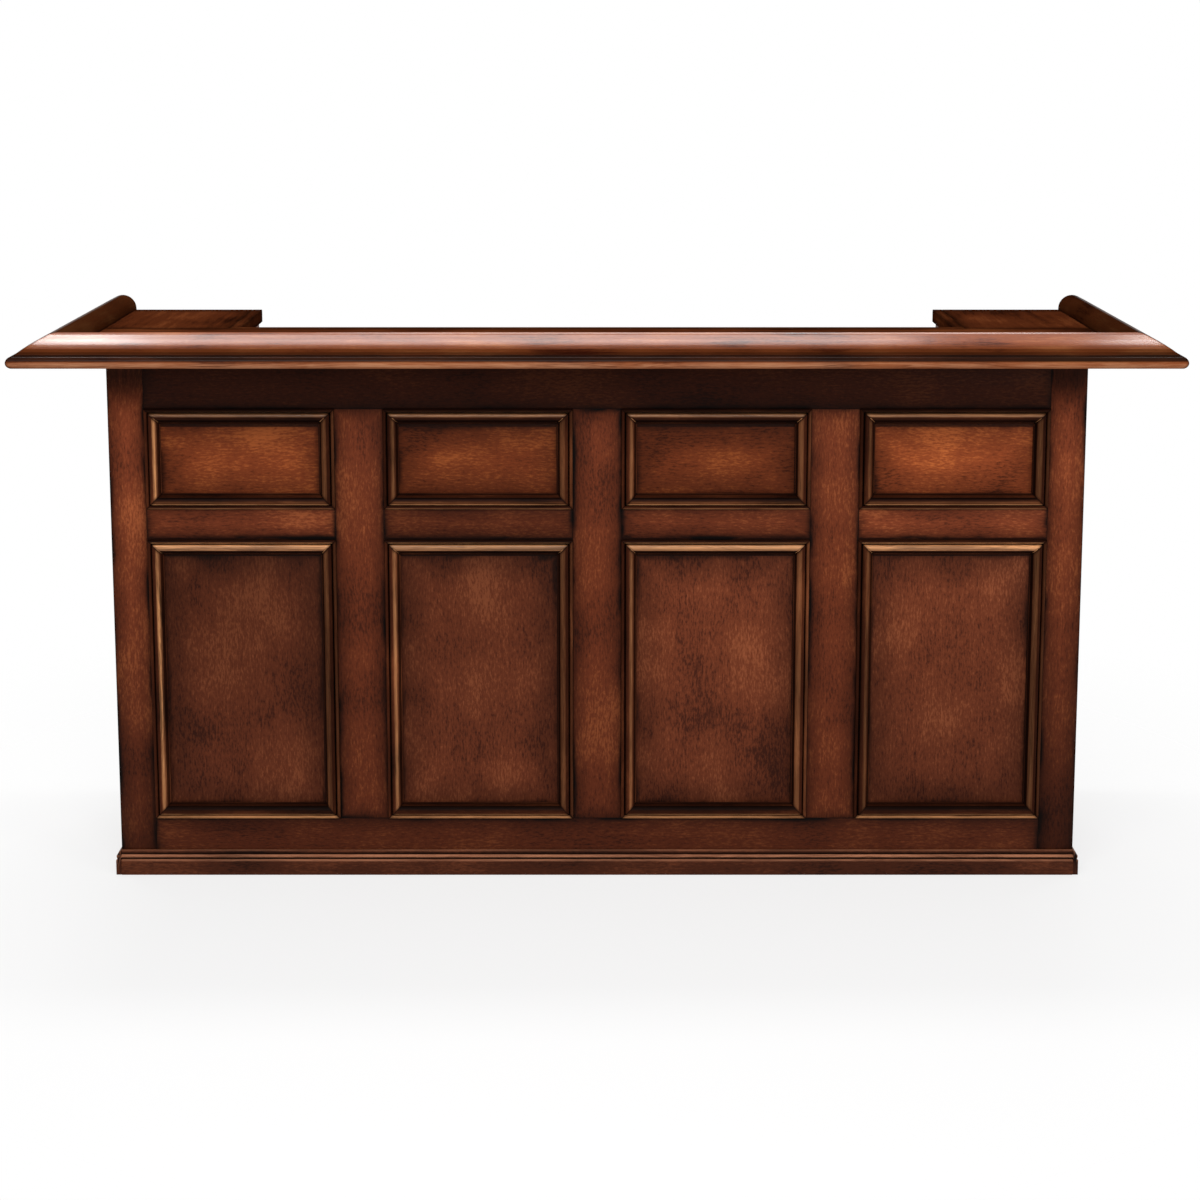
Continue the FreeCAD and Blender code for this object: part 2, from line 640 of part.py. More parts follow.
def carcass_boards():
    """Write the bottom board, partitions, counter and uprights of the serving side."""
    save("bottom_board", [block(-INNER_X, INNER_X, INNER_Y, BACK_Y, TOE_HEIGHT, FLOOR_TOP)])
    toe_back = BACK_Y - TOE_SETBACK
    save("rear_toe_rail",
         [block(-INNER_X, INNER_X, toe_back - BOARD_THICKNESS, toe_back, 0, TOE_HEIGHT)])
    partition = block(PARTITION_IN, PARTITION_OUT, INNER_Y, BACK_Y, FLOOR_TOP, COUNTER_UNDER)
    holes = pin_holes(PARTITION_IN, 1, CENTRE_SHELF_RISE)
    holes += pin_holes(PARTITION_OUT, -1, CUPBOARD_SHELF_RISE)
    save_pair("partition", [without(partition, holes)])
    counter = block(-INNER_X, INNER_X, INNER_Y, BACK_Y + COUNTER_NOSE, COUNTER_UNDER, COUNTER_TOP)
    nose = [edge for edge in counter.Edges
            if all(abs(vertex.Y - BACK_Y - COUNTER_NOSE) < COUNTER_ROUND / 2 for vertex in edge.Vertexes)
            and edge.BoundBox.XLength > COUNTER_THICKNESS]
    save("work_counter", [counter.makeFillet(COUNTER_ROUND, nose)])
    inner, outer = wing_support_edges()
    support = block(inner, outer, INNER_Y, BACK_Y, COUNTER_TOP, CARCASS_HEIGHT)
    save("wing_supports", [support, mirrored(support)])


def shelves():
    """Write the adjustable shelves and the pins that carry them."""
    front = INNER_Y + SHELF_FRONT_GAP
    back = BACK_Y - SHELF_SETBACK
    side_base = FLOOR_TOP + CUPBOARD_SHELF_RISE
    side = block(PARTITION_OUT + SHELF_SIDE_CLEARANCE, INNER_X - SHELF_SIDE_CLEARANCE,
                 front, back, side_base, side_base + BOARD_THICKNESS)
    reach = PARTITION_IN - SHELF_SIDE_CLEARANCE
    centre_base = FLOOR_TOP + CENTRE_SHELF_RISE
    centre = block(-reach, reach, front, back, centre_base, centre_base + BOARD_THICKNESS)
    save("shelves", [centre, side, mirrored(side)])
    length = PIN_HOLE_DEPTH + PIN_REACH
    right_pins = []
    for y in pin_places():
        for x, side, rise in [
            (PARTITION_IN - PIN_REACH, 1, CENTRE_SHELF_RISE),
            (PARTITION_OUT + PIN_REACH, -1, CUPBOARD_SHELF_RISE),
            (INNER_X - PIN_REACH, 1, CUPBOARD_SHELF_RISE),
        ]:
            z = FLOOR_TOP + rise - PIN_RADIUS
            right_pins.append(peg(Vector(x, y, z), PIN_RADIUS, length, Vector(side, 0, 0)))
    save("shelf_pins", right_pins + [mirrored(pin) for pin in right_pins])


def stemware_rack():
    """Write the rails under the counter that hold glasses by their feet."""
    back = BACK_Y - STEMWARE_SETBACK
    front = back - STEMWARE_LENGTH
    web_base = COUNTER_UNDER - STEMWARE_WEB_HEIGHT
    first = -STEMWARE_PITCH * (STEMWARE_RAIL_COUNT - 1) / 2
    pieces = []
    for number in range(STEMWARE_RAIL_COUNT):
        x = first + number * STEMWARE_PITCH
        half_web = STEMWARE_WEB_WIDTH / 2
        half_slat = STEMWARE_SLAT_WIDTH / 2
        pieces.append(block(x - half_web, x + half_web, front, back, web_base, COUNTER_UNDER))
        pieces.append(block(x - half_slat, x + half_slat, front, back,
                            web_base - STEMWARE_SLAT_THICKNESS, web_base))
    save("stemware_rack", pieces)


def bottle_rack():
    """Write the row of bottle cells at the foot of the centre bay."""
    back = BACK_Y - BOTTLE_RACK_SETBACK
    front = back - BOTTLE_RACK_DEPTH
    lid_base = FLOOR_TOP + BOTTLE_CELL_HEIGHT
    dividers = BOTTLE_CELL_COUNT - 1
    cell = (2 * PARTITION_IN - dividers * BOTTLE_DIVIDER_THICKNESS) / BOTTLE_CELL_COUNT
    pieces = [block(-PARTITION_IN, PARTITION_IN, front, back, lid_base, lid_base + BOARD_THICKNESS)]
    for number in range(dividers):
        x = -PARTITION_IN + cell + number * (cell + BOTTLE_DIVIDER_THICKNESS)
        pieces.append(block(x, x + BOTTLE_DIVIDER_THICKNESS, front, back, FLOOR_TOP, lid_base))
    save("bottle_rack", pieces)


def drawer_guides():
    """Write the rail under each drawer, its two runners and its stop."""
    runner_end = BACK_Y - DIVIDER_DEPTH
    stop_x = (PARTITION_OUT + INNER_X) / 2
    stop_end = DRAWER_END_Y - RUNNING_CLEARANCE
    stop_base = DRAWER_SILL + DRAWER_BOTTOM_RISE
    side = [
        block(PARTITION_OUT, INNER_X, runner_end, BACK_Y, DIVIDER_UNDER, DRAWER_SILL),
        block(PARTITION_OUT, PARTITION_OUT + RUNNER_WIDTH, INNER_Y, runner_end,
              DIVIDER_UNDER, DRAWER_SILL),
        block(INNER_X - RUNNER_WIDTH, INNER_X, INNER_Y, runner_end, DIVIDER_UNDER, DRAWER_SILL),
        block(stop_x - STOP_WIDTH / 2, stop_x + STOP_WIDTH / 2, INNER_Y, stop_end,
              stop_base, stop_base + STOP_HEIGHT),
    ]
    save("drawer_guides", side + [mirrored(piece) for piece in side])


def drawers():
    """Write the two drawers."""
    left, right = PARTITION_OUT + FRONT_GAP, INNER_X - FRONT_GAP
    base = DRAWER_SILL + RUNNING_CLEARANCE
    top = base + DRAWER_SIDE_HEIGHT
    wall = DRAWER_SIDE_THICKNESS
    floor_base = base + DRAWER_BOTTOM_RISE
    floor_top = floor_base + DRAWER_BOTTOM_THICKNESS
    floor = block(left + wall - DRAWER_GROOVE, right - wall + DRAWER_GROOVE,
                  DRAWER_END_Y, DRAWER_FRONT_Y + DRAWER_GROOVE, floor_base, floor_top)
    front = block(left, right, DRAWER_FRONT_Y, BACK_Y,
                  DRAWER_SILL + FRONT_GAP, COUNTER_UNDER - FRONT_GAP)
    sides = [
        block(left, left + wall, DRAWER_END_Y, DRAWER_FRONT_Y, base, top),
        block(right - wall, right, DRAWER_END_Y, DRAWER_FRONT_Y, base, top),
    ]
    end = block(left + wall, right - wall, DRAWER_END_Y, DRAWER_END_Y + wall, floor_top, top)
    save_pair("drawer_box", [front.cut(floor), sides[0].cut(floor), sides[1].cut(floor), end, floor])
    save_pair("drawer_knob", [knob((left + right) / 2, (DRAWER_SILL + COUNTER_UNDER) / 2)])


def knob(x, z):
    """Return a turned knob on the serving side."""
    head_start = KNOB_ROSE_THICKNESS + KNOB_NECK_LENGTH
    head_edge = (head_start + KNOB_LENGTH) / 2
    neck_half = KNOB_ROSE_THICKNESS + KNOB_NECK_LENGTH / 2
    waist = (KNOB_NECK_RADIUS + KNOB_ROSE_RADIUS) / 2
    flare = (KNOB_NECK_RADIUS + KNOB_HEAD_RADIUS) / 2
    dome_rise = KNOB_LENGTH - head_edge
    dome_radius = (KNOB_HEAD_RADIUS ** 2 + dome_rise ** 2) / (2 * dome_rise)
    dome_centre = (0, KNOB_LENGTH - dome_radius)
    dome_start = math.degrees(math.atan2(head_edge - dome_centre[1], KNOB_HEAD_RADIUS))
    steps = [
        ((KNOB_ROSE_RADIUS, 0),),
        ((KNOB_ROSE_RADIUS, KNOB_ROSE_THICKNESS),),
        ((waist, KNOB_ROSE_THICKNESS),),
        ((KNOB_NECK_RADIUS, neck_half),),
        ((KNOB_NECK_RADIUS, head_start),),
        ((flare, (head_start + head_edge) / 2 - KNOB_ROSE_THICKNESS), (KNOB_HEAD_RADIUS, head_edge)),
        (on_circle(dome_centre, dome_radius, (dome_start + 90) / 2), (0, KNOB_LENGTH)),
    ]
    face = section_face((0, 0), steps, lambda r, d: Vector(x + r, BACK_Y + d, z))
    return face.revolve(Vector(x, BACK_Y, z), Vector(0, 1, 0), 360)


def hinge_heights():
    """Return the lowest point of each hinge of a door."""
    return [DOOR_BASE + HINGE_END_DISTANCE - HINGE_HEIGHT / 2,
            DOOR_TOP - HINGE_END_DISTANCE - HINGE_HEIGHT / 2]


def hinge_leaf(base, side, spans):
    """Return a leaf of a hinge, on the side of its pin that is given.

    Each span is the lowest and highest point of a knuckle. The bore fits the pin exactly on the
    end wall's side, and runs on it with a clearance on the door's side.
    """
    clear = HINGE_KNUCKLE_RADIUS + HINGE_KNUCKLE_GAP
    near, far = sorted((HINGE_X + side * clear, HINGE_X + side * HINGE_LEAF_WIDTH))
    leaf = block(near, far, BACK_Y, BACK_Y + HINGE_LEAF_THICKNESS, base, base + HINGE_HEIGHT)
    bore = HINGE_PIN_RADIUS if side > 0 else HINGE_PIN_RADIUS + HINGE_BORE_CLEARANCE
    for low, high in spans:
        root_near, root_far = sorted((HINGE_X, HINGE_X + side * clear))
        root = block(root_near, root_far, BACK_Y, BACK_Y + HINGE_LEAF_THICKNESS, low, high)
        start = Vector(HINGE_X, HINGE_Y, low)
        knuckle = peg(start, HINGE_KNUCKLE_RADIUS, high - low, Vector(0, 0, 1))
        leaf = leaf.fuse(root).fuse(knuckle)
        leaf = leaf.cut(peg(start, bore, high - low, Vector(0, 0, 1)))
    return leaf.removeSplitter()


def hinge_pin(base):
    """Return the pin of a hinge, with a cap at each end."""
    up = Vector(0, 0, 1)
    pin = peg(Vector(HINGE_X, HINGE_Y, base), HINGE_PIN_RADIUS, HINGE_HEIGHT, up)
    for z in (base - HINGE_CAP_HEIGHT, base + HINGE_HEIGHT):
        pin = pin.fuse(peg(Vector(HINGE_X, HINGE_Y, z), HINGE_CAP_RADIUS, HINGE_CAP_HEIGHT, up))
    return pin.removeSplitter()


def doors():
    """Write the two cupboard doors, their hinges, catches and knobs."""
    width = DOOR_HINGE_X - DOOR_FREE_X
    height = DOOR_TOP - DOOR_BASE
    opening = (DOOR_STILE_WIDTH, width - DOOR_STILE_WIDTH, DOOR_STILE_WIDTH, height - DOOR_STILE_WIDTH)
    wall = FramedWall([opening], DOOR_THICKNESS, DOOR_PANEL_RECESS)
    rails = [
        wall.member(*opening[:2], 0, DOOR_STILE_WIDTH, "x"),
        wall.member(*opening[:2], opening[3], height, "x"),
    ]
    stiles = [
        wall.member(0, DOOR_STILE_WIDTH, 0, height, "none"),
        wall.member(opening[1], width, 0, height, "none"),
    ]
    placed = []
    for solid in rails + stiles + wall.panels():
        turned = solid.copy()
        turned.rotate(Vector(0, 0, 0), Vector(0, 0, 1), 180)
        placed.append(turned.translated(Vector(DOOR_HINGE_X, BACK_Y, DOOR_BASE)))
    save_pair("door", placed)
    save_pair("door_knob", [knob(DOOR_FREE_X + DOOR_STILE_WIDTH / 2, DOOR_TOP - DOOR_KNOB_DROP)])
    third = HINGE_HEIGHT / 3
    moving = []
    fixed = []
    for base in hinge_heights():
        middle = (base + third + HINGE_KNUCKLE_GAP, base + 2 * third - HINGE_KNUCKLE_GAP)
        outer = [(base, base + third), (base + 2 * third, base + HINGE_HEIGHT)]
        moving.append(hinge_leaf(base, -1, [middle]))
        fixed += [hinge_leaf(base, 1, outer), hinge_pin(base)]
    save_pair("door_hinge_leaves", moving)
    catch_top = DIVIDER_UNDER - CATCH_DROP
    catch_end = DOOR_IN_Y - RUNNING_CLEARANCE
    fixed.append(block(PARTITION_OUT, PARTITION_OUT + CATCH_WIDTH, catch_end - CATCH_DEPTH, catch_end,
                       catch_top - CATCH_HEIGHT, catch_top))
    save("cupboard_hardware", fixed + [mirrored(piece) for piece in fixed])


def main():
    """Write every sub-part of the bar."""
    os.makedirs("parts", exist_ok=True)
    front_wall()
    end_walls()
    base_mouldings()
    bar_top()
    arm_rails()
    cleats()
    carcass_boards()
    shelves()
    stemware_rack()
    bottle_rack()
    drawer_guides()
    drawers()
    doors()


main()
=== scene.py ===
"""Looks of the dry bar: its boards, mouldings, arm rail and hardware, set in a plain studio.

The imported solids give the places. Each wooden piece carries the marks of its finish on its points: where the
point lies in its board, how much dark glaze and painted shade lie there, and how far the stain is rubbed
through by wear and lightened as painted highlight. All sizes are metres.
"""

import logging
import math
from abc import ABC, abstractmethod
from collections.abc import Sequence
from dataclasses import dataclass, replace
from enum import Enum
from functools import cache

import bmesh
import bpy
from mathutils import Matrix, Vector


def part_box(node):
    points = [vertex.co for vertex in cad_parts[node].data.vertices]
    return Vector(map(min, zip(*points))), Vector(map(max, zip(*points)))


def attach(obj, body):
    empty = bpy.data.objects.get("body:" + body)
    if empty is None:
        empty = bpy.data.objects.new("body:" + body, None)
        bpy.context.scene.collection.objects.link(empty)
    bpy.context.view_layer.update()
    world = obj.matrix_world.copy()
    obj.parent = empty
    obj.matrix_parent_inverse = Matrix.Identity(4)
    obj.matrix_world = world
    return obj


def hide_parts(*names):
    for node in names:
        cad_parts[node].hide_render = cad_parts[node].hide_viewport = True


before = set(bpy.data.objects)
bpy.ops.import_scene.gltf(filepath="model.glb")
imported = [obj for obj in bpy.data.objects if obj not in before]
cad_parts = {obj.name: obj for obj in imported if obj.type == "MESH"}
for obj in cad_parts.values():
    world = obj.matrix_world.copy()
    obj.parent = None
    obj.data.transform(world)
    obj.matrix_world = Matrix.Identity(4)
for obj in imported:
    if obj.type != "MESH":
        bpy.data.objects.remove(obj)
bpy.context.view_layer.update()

Colour = tuple[int, int, int]
Pair = tuple[float, float]
Triple = tuple[float, float, float]
Row = tuple[float, ...]
Material = bpy.types.Material
Socket = bpy.types.NodeSocket

LOG = logging.getLogger("dry_bar")
SHARP_ANGLE = math.radians(28)
# How far a board's figure moves through the noise for each unit of its seed
SEED_DRIFT = (7.31, 3.17, 11.73)
WHITE = (1.0, 1.0, 1.0, 1.0)
UP = Vector((0, 0, 1))
# Half of a size so great that no edge is near, for mouldings and turned pieces
EDGELESS = Vector((9.0, 9.0, 9.0))


def linear(colour: Colour) -> tuple[float, float, float, float]:
    """Return a screen colour as the linear colour that a shader takes.

    Args:
        colour: Red, green and blue from 0 to 255.

    Returns:
        The linear colour with an alpha of 1.
    """
    shares = [channel / 255 for channel in colour]
    values = [share / 12.92 if share <= 0.04045 else ((share + 0.055) / 1.055) ** 2.4 for share in shares]
    return (values[0], values[1], values[2], 1.0)


def unit(number: float) -> float:
    """Return a number held between 0 and 1."""
    return min(1.0, max(0.0, number))


def seed_of(seeds: Pair, number: int) -> float:
    """Return the seed of a piece in a row, from the row's first seed and its step."""
    return seeds[0] + number * seeds[1]


def linked(name: str, data: bpy.types.ID) -> bpy.types.Object:
    """Put a new object into the scene.

    Args:
        name: The object's name.
        data: Its mesh, lamp or camera.

    Returns:
        The object.
    """
    thing = bpy.data.objects.new(name, data)
    bpy.context.scene.collection.objects.link(thing)
    return thing


class Grain(Enum):
    """The way the grain runs in a board: its axes in the order across, through and along."""

    ALONG_X = (1, 2, 0)
    ALONG_Y = (2, 0, 1)
    ALONG_Z = (0, 1, 2)

    def turned(self, vector: Vector) -> Vector:
        """Return the vector with the grain along its last axis."""
        return Vector([vector[axis] for axis in self.value])


class Body(Enum):
    """The bodies that pieces ride on."""

    CABINET = "cabinet"
    LEFT_DRAWER = "left_drawer"
    RIGHT_DRAWER = "right_drawer"
    LEFT_DOOR = "left_door"
    RIGHT_DOOR = "right_door"


class Side(Enum):
    """An end of the bar, seen by the guests, and the sign of its X."""

    LEFT = -1
    RIGHT = 1

    @property
    def word(self) -> str:
        """Return the word that the end's names begin with."""
        return self.name.lower()

    @property
    def drawer(self) -> Body:
        """Return the drawer at this end."""
        return Body(f"{self.word}_drawer")

    @property
    def door(self) -> Body:
        """Return the cupboard door at this end."""
        return Body(f"{self.word}_door")


@dataclass(frozen=True)
class Wave:
    """A noise: waves per metre across, through and along the grain, its finer waves and their strength."""

    stretch: Triple
    detail: float
    rough: float = 0.5


class NodeSketch:
    """Writes the nodes of a material or of the world."""

    def __init__(self, owner: Material | bpy.types.World) -> None:
        """Start without nodes.

        Args:
            owner: The material or the world.
        """
        owner.use_nodes = True
        self.owner = owner
        self.tree = owner.node_tree
        self.tree.nodes.clear()

    @classmethod
    def material(cls, name: str) -> "NodeSketch":
        """Return a sketch of a new material."""
        return cls(bpy.data.materials.new(name))

    def add(self, kind: str, inputs: dict, **settings: object) -> bpy.types.Node:
        """Add a node.

        Args:
            kind: The node's type.
            inputs: A value or a socket for each input, by name or number.
            **settings: The node's own properties.

        Returns:
            The new node.
        """
        node = self.tree.nodes.new(kind)
        for key, value in settings.items():
            setattr(node, key, value)
        for key, value in inputs.items():
            if isinstance(value, Socket):
                self.tree.links.new(value, node.inputs[key])
            else:
                node.inputs[key].default_value = value
        return node

    def out(self, kind: str, inputs: dict, **settings: object) -> Socket:
        """Add a node and return its first output."""
        return self.add(kind, inputs, **settings).outputs[0]

    def place(self) -> Socket:
        """Return the place in the object."""
        return self.add("ShaderNodeTexCoord", {}).outputs["Object"]

    def mark(self, name: str, output: str = "Fac") -> Socket:
        """Return a mark that the piece's points carry."""
        return self.add("ShaderNodeAttribute", {}, attribute_name=name).outputs[output]

    def math(self, operation: str, first: object, second: object = 0.0, clamp: bool = False) -> Socket:
        """Return the result of a sum on two numbers."""
        return self.out("ShaderNodeMath", {0: first, 1: second}, operation=operation, use_clamp=clamp)

    def plus(self, first: object, second: object, weight: float, clamp: bool = False) -> Socket:
        """Return the first number and the second times its weight."""
        return self.math("ADD", first, self.math("MULTIPLY", second, weight), clamp)

    def swing(self, noise: Socket, weight: float) -> Socket:
        """Return how far a noise swings from its middle, times a weight."""
        return self.math("MULTIPLY", self.math("SUBTRACT", noise, 0.5), weight)

    def vector(self, operation: str, first: object, second: object) -> Socket:
        """Return the result of a sum on two vectors."""
        return self.out("ShaderNodeVectorMath", {0: first, 1: second}, operation=operation)

    def scaled(self, vector: object, scale: object) -> Socket:
        """Return a vector or a colour times a number."""
        return self.out("ShaderNodeVectorMath", {0: vector, "Scale": scale}, operation="SCALE")

    def noise(self, place: object, wave: Wave) -> Socket:
        """Return a noise's value, about 0.5, at a place in the board.

        Args:
            place: The place.
            wave: The noise.

        Returns:
            The value.
        """
        stretched = self.vector("MULTIPLY", place, wave.stretch)
        inputs = {"Vector": stretched, "Scale": 1.0, "Detail": wave.detail, "Roughness": wave.rough}
        return self.out("ShaderNodeTexNoise", inputs)

    def span(self, value: object, start: float, end: float, low: float = 0.0, high: float = 1.0) -> Socket:
        """Return a smooth step from low to high while the value goes from start to end."""
        inputs = {0: value, 1: start, 2: end, 3: low, 4: high}
        return self.out("ShaderNodeMapRange", inputs, interpolation_type="SMOOTHSTEP")

    def mix(self, share: object, first: object, second: object) -> Socket:
        """Return two colours mixed by a share of the second."""
        return self.add("ShaderNodeMix", {0: share, 6: first, 7: second}, data_type="RGBA").outputs[2]

    def ramp(self, value: object, stops: Sequence[tuple[float, Colour]]) -> Socket:
        """Return a colour from a ramp.

        Args:
            value: The place on the ramp.
            stops: At least two places with their colours.

        Returns:
            The colour.
        """
        node = self.add("ShaderNodeValToRGB", {0: value})
        node.color_ramp.interpolation = "EASE"
        elements = node.color_ramp.elements
        while len(elements) < len(stops):
            elements.new(0.5)
        for element, (position, colour) in zip(elements, stops):
            element.position = position
            element.color = linear(colour)
        return node.outputs[0]

    def bump(self, strength: float, distance: float, height: Socket) -> Socket:
        """Return the normal of a surface with a fine relief."""
        return self.out("ShaderNodeBump", {"Strength": strength, "Distance": distance, "Height": height})

    def background_ray(self) -> Socket:
        """Tell the rays that show the background.

        Returns:
            1 on rays to the camera, in reflections and through glass.
        """
        path = self.add("ShaderNodeLightPath", {}).outputs
        seen = self.math("MAXIMUM", path["Is Camera Ray"], path["Is Glossy Ray"])
        return self.math("MAXIMUM", seen, path["Is Transmission Ray"])

    def surface(self, inputs: dict) -> Material:
        """Close the material with one principled surface.

        Args:
            inputs: The surface's values and sockets by name.

        Returns:
            The material.
        """
        shader = self.out("ShaderNodeBsdfPrincipled", inputs)
        self.add("ShaderNodeOutputMaterial", {"Surface": shader})
        return self.owner


@dataclass(frozen=True)
class WoodFinish:
    """A hand-rubbed stain with dark glaze left along edges, glaze with painted shade in hollows, and wear with
    painted highlights.

    A step's four numbers are the values where it starts and ends, and what it gives there.
    """

    name: str
    dark: Colour
    middle: Colour
    light: Colour
    # The light colour of wear, which also serves the painted highlights and painted reflections of mouldings
    # and the rail's lip.
    worn: Colour = (172, 118, 68)
    # The near-black of dark glaze, which also serves as painted shade in hollows, moulding zones and under the
    # top's overhang.
    glaze: Colour = (7, 3, 2)
    roughness: float = 0.42
    specular: float = 0.05
    coat: float = 0.0
    coat_roughness: float = 0.1
    line_width: float = 0.0014
    tight_width: float = 0.011
    tight_strength: float = 0.5
    wide_width: float = 0.036
    wide_strength: float = 0.46
    blotch: float = 0.9
    streak: float = 0.35
    fibre: float = 0.6
    speckle: float = 0.62
    edge_wear: float = 0.0
    least_wear: float = 0.3
    bump: float = 0.25

    SWAY = Wave((4.0, 4.0, 1.6), 2.0)
    BLOTCH = Wave((9.0, 9.0, 6.5), 2.0, 0.45)
    SMUDGE = Wave((15.0, 15.0, 9.0), 2.0)
    STREAK = Wave((85.0, 85.0, 5.0), 4.0, 0.6)
    MOTTLE = Wave((300.0, 300.0, 95.0), 3.0, 0.65)
    FIBRE = Wave((620.0, 620.0, 22.0), 2.0, 0.6)
    PORES = Wave((1500.0, 1500.0, 70.0), 1.0)
    BEND = 0.05
    STAIN_STOPS = (0.22, 0.50, 0.78)
    BLOTCH_WEIGHT = 0.9
    STREAK_WEIGHT = 0.55
    FIBRE_WEIGHT = 0.4
    LINE_START = 0.0004
    LINE_SHADE = 0.92
    WIDE_WOBBLE = 0.9
    TIGHT_WOBBLE = 0.3
    SMUDGE_STEP = (0.36, 0.64, 0.25, 1.15)
    PORE_STEP = (0.60, 0.72, 0.0, 1.0)
    PORE_SHADE = 0.16
    PATCH_STEP = (0.2, 0.6, 0.82, 1.0)
    WEAR_START = 0.28
    WEAR_END = 0.72
    WEAR_FIBRE = 0.6
    BARE_START = 0.0004
    BARE_END = 0.0016
    BARE_STEP = (0.35, 0.65, 0.0, 1.0)
    FIBRE_ROUGHNESS = 0.18
    GLAZE_ROUGHNESS = 0.12
    RELIEF_STREAK = 0.6
    RELIEF_DEPTH = 0.0004

    @cache
    def on_marks(self) -> Material:
        """Write the finish for pieces whose points carry its marks.

        Returns:
            The material.
        """
        sketch = NodeSketch.material(self.name)
        place, half = sketch.mark("board_at", "Vector"), sketch.mark("board_half", "Vector")
        return self._dress(sketch, place, half, *[sketch.mark(name) for name in Shell.MARKS])

    def on_node(self, node: str, grain: Grain, seed: float, tone: float = 1.0) -> Material:
        """Write the finish for a solid of the frame.

        Args:
            node: The solid's name.
            grain: The way the grain runs.
            seed: A number that sets the board's own figure.
            tone: The board's brightness.

        Returns:
            The material.
        """
        low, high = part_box(node)
        sketch = NodeSketch.material(f"{self.name}_{node}")
        centred = sketch.out("ShaderNodeMapping", {"Vector": sketch.place(), "Location": -(low + high) / 2})
        parts = sketch.add("ShaderNodeSeparateXYZ", {0: centred}).outputs
        slots = {slot: parts[axis] for slot, axis in enumerate(grain.value)}
        turned = sketch.out("ShaderNodeCombineXYZ", slots)
        half = grain.turned((high - low) / 2)
        return self._dress(sketch, turned, half, 0.0, 0.0, tone, seed, 0.0)

    def _edge_distance(self, sketch: NodeSketch, place: object, half: object) -> Socket:
        """Tell how far a point on a board's face lies from the face's nearest edge.

        Of the three distances to the board's sides, the least is nothing on any face, so the middle one is
        the distance to the edge.

        Args:
            sketch: The material's nodes.
            place: The place in the board.
            half: Half of the board's size.

        Returns:
            The distance.
        """
        depth = sketch.vector("SUBTRACT", half, sketch.vector("ABSOLUTE", place, (0, 0, 0)))
        first, second, third = sketch.add("ShaderNodeSeparateXYZ", {0: depth}).outputs
        lesser = sketch.math("MINIMUM", first, second)
        greater = sketch.math("MAXIMUM", first, second)
        return sketch.math("MAXIMUM", lesser, sketch.math("MINIMUM", greater, third))

    def _dress(self, sketch: NodeSketch, place: object, half: object, glaze: object, worn: object,
               tone: object, seed: object, polish: object) -> Material:
        """Write the finish's nodes.

        Args:
            sketch: The material's nodes.
            place: The place in the board, with the grain along the last axis.
            half: Half of the board's size on the same axes.
            glaze: The share of dark glaze and painted shade at the point.
            worn: The share of stain rubbed off by wear and lightened as painted highlight at the point.
            tone: The board's brightness.
            seed: The board's seed.
            polish: The share of gloss at the point.

        Returns:
            The material.
        """
        own = sketch.vector("ADD", place, sketch.scaled(SEED_DRIFT, seed))
        bend = sketch.swing(sketch.noise(own, self.SWAY), self.BEND)
        flow = sketch.vector("ADD", own, sketch.out("ShaderNodeCombineXYZ", {0: bend, 1: bend}))
        blotch = sketch.noise(own, self.BLOTCH)
        streak, fibre, mottle, pore = [
            sketch.noise(flow, wave) for wave in (self.STREAK, self.FIBRE, self.MOTTLE, self.PORES)]
        pores = sketch.span(pore, *self.PORE_STEP)

        layers = ((blotch, self.BLOTCH_WEIGHT * self.blotch), (streak, self.STREAK_WEIGHT * self.streak),
                  (fibre, self.FIBRE_WEIGHT * self.fibre), (mottle, self.speckle))
        value = 0.5
        for noise, weight in layers:
            value = sketch.math("ADD", value, sketch.swing(noise, weight))
        stain = sketch.ramp(value, list(zip(self.STAIN_STOPS, (self.dark, self.middle, self.light))))

        edge = self._edge_distance(sketch, place, half)
        wobble = sketch.swing(blotch, self.WIDE_WOBBLE * self.wide_width)
        line = sketch.span(sketch.math("ABSOLUTE", edge), self.LINE_START, self.line_width, 1.0, 0.0)
        near = sketch.plus(edge, wobble, self.TIGHT_WOBBLE)
        smudge = sketch.span(sketch.noise(own, self.SMUDGE), *self.SMUDGE_STEP)
        tight = sketch.span(near, 0.0, self.tight_width, self.tight_strength, 0.0)
        wide = sketch.span(sketch.math("ADD", edge, wobble), 0.0, self.wide_width, self.wide_strength, 0.0)
        soft = sketch.math("ADD", sketch.math("MULTIPLY", tight, smudge), wide)
        shade = sketch.math("MAXIMUM", soft, sketch.math("MULTIPLY", line, self.LINE_SHADE))
        patchy = sketch.math("MULTIPLY", glaze, sketch.span(streak, *self.PATCH_STEP))
        shade = sketch.math("MAXIMUM", sketch.plus(shade, pores, self.PORE_SHADE), patchy, clamp=True)

        # Wear and painted highlights, broken up by the grain.
        grainy = sketch.math("ADD", streak, sketch.swing(fibre, self.WEAR_FIBRE))
        grainy = sketch.span(grainy, self.WEAR_START, self.WEAR_END, self.least_wear, 1.0)
        wear_and_highlight_share = sketch.math("MULTIPLY", worn, grainy)
        if self.edge_wear:
            bare = sketch.span(edge, self.BARE_START, self.BARE_END, self.edge_wear, 0.0)
            bare = sketch.math("MULTIPLY", bare, sketch.span(mottle, *self.BARE_STEP))
            wear_and_highlight_share = sketch.math("MAXIMUM", wear_and_highlight_share, bare)
        colour = sketch.scaled(sketch.mix(wear_and_highlight_share, stain, linear(self.worn)), tone)

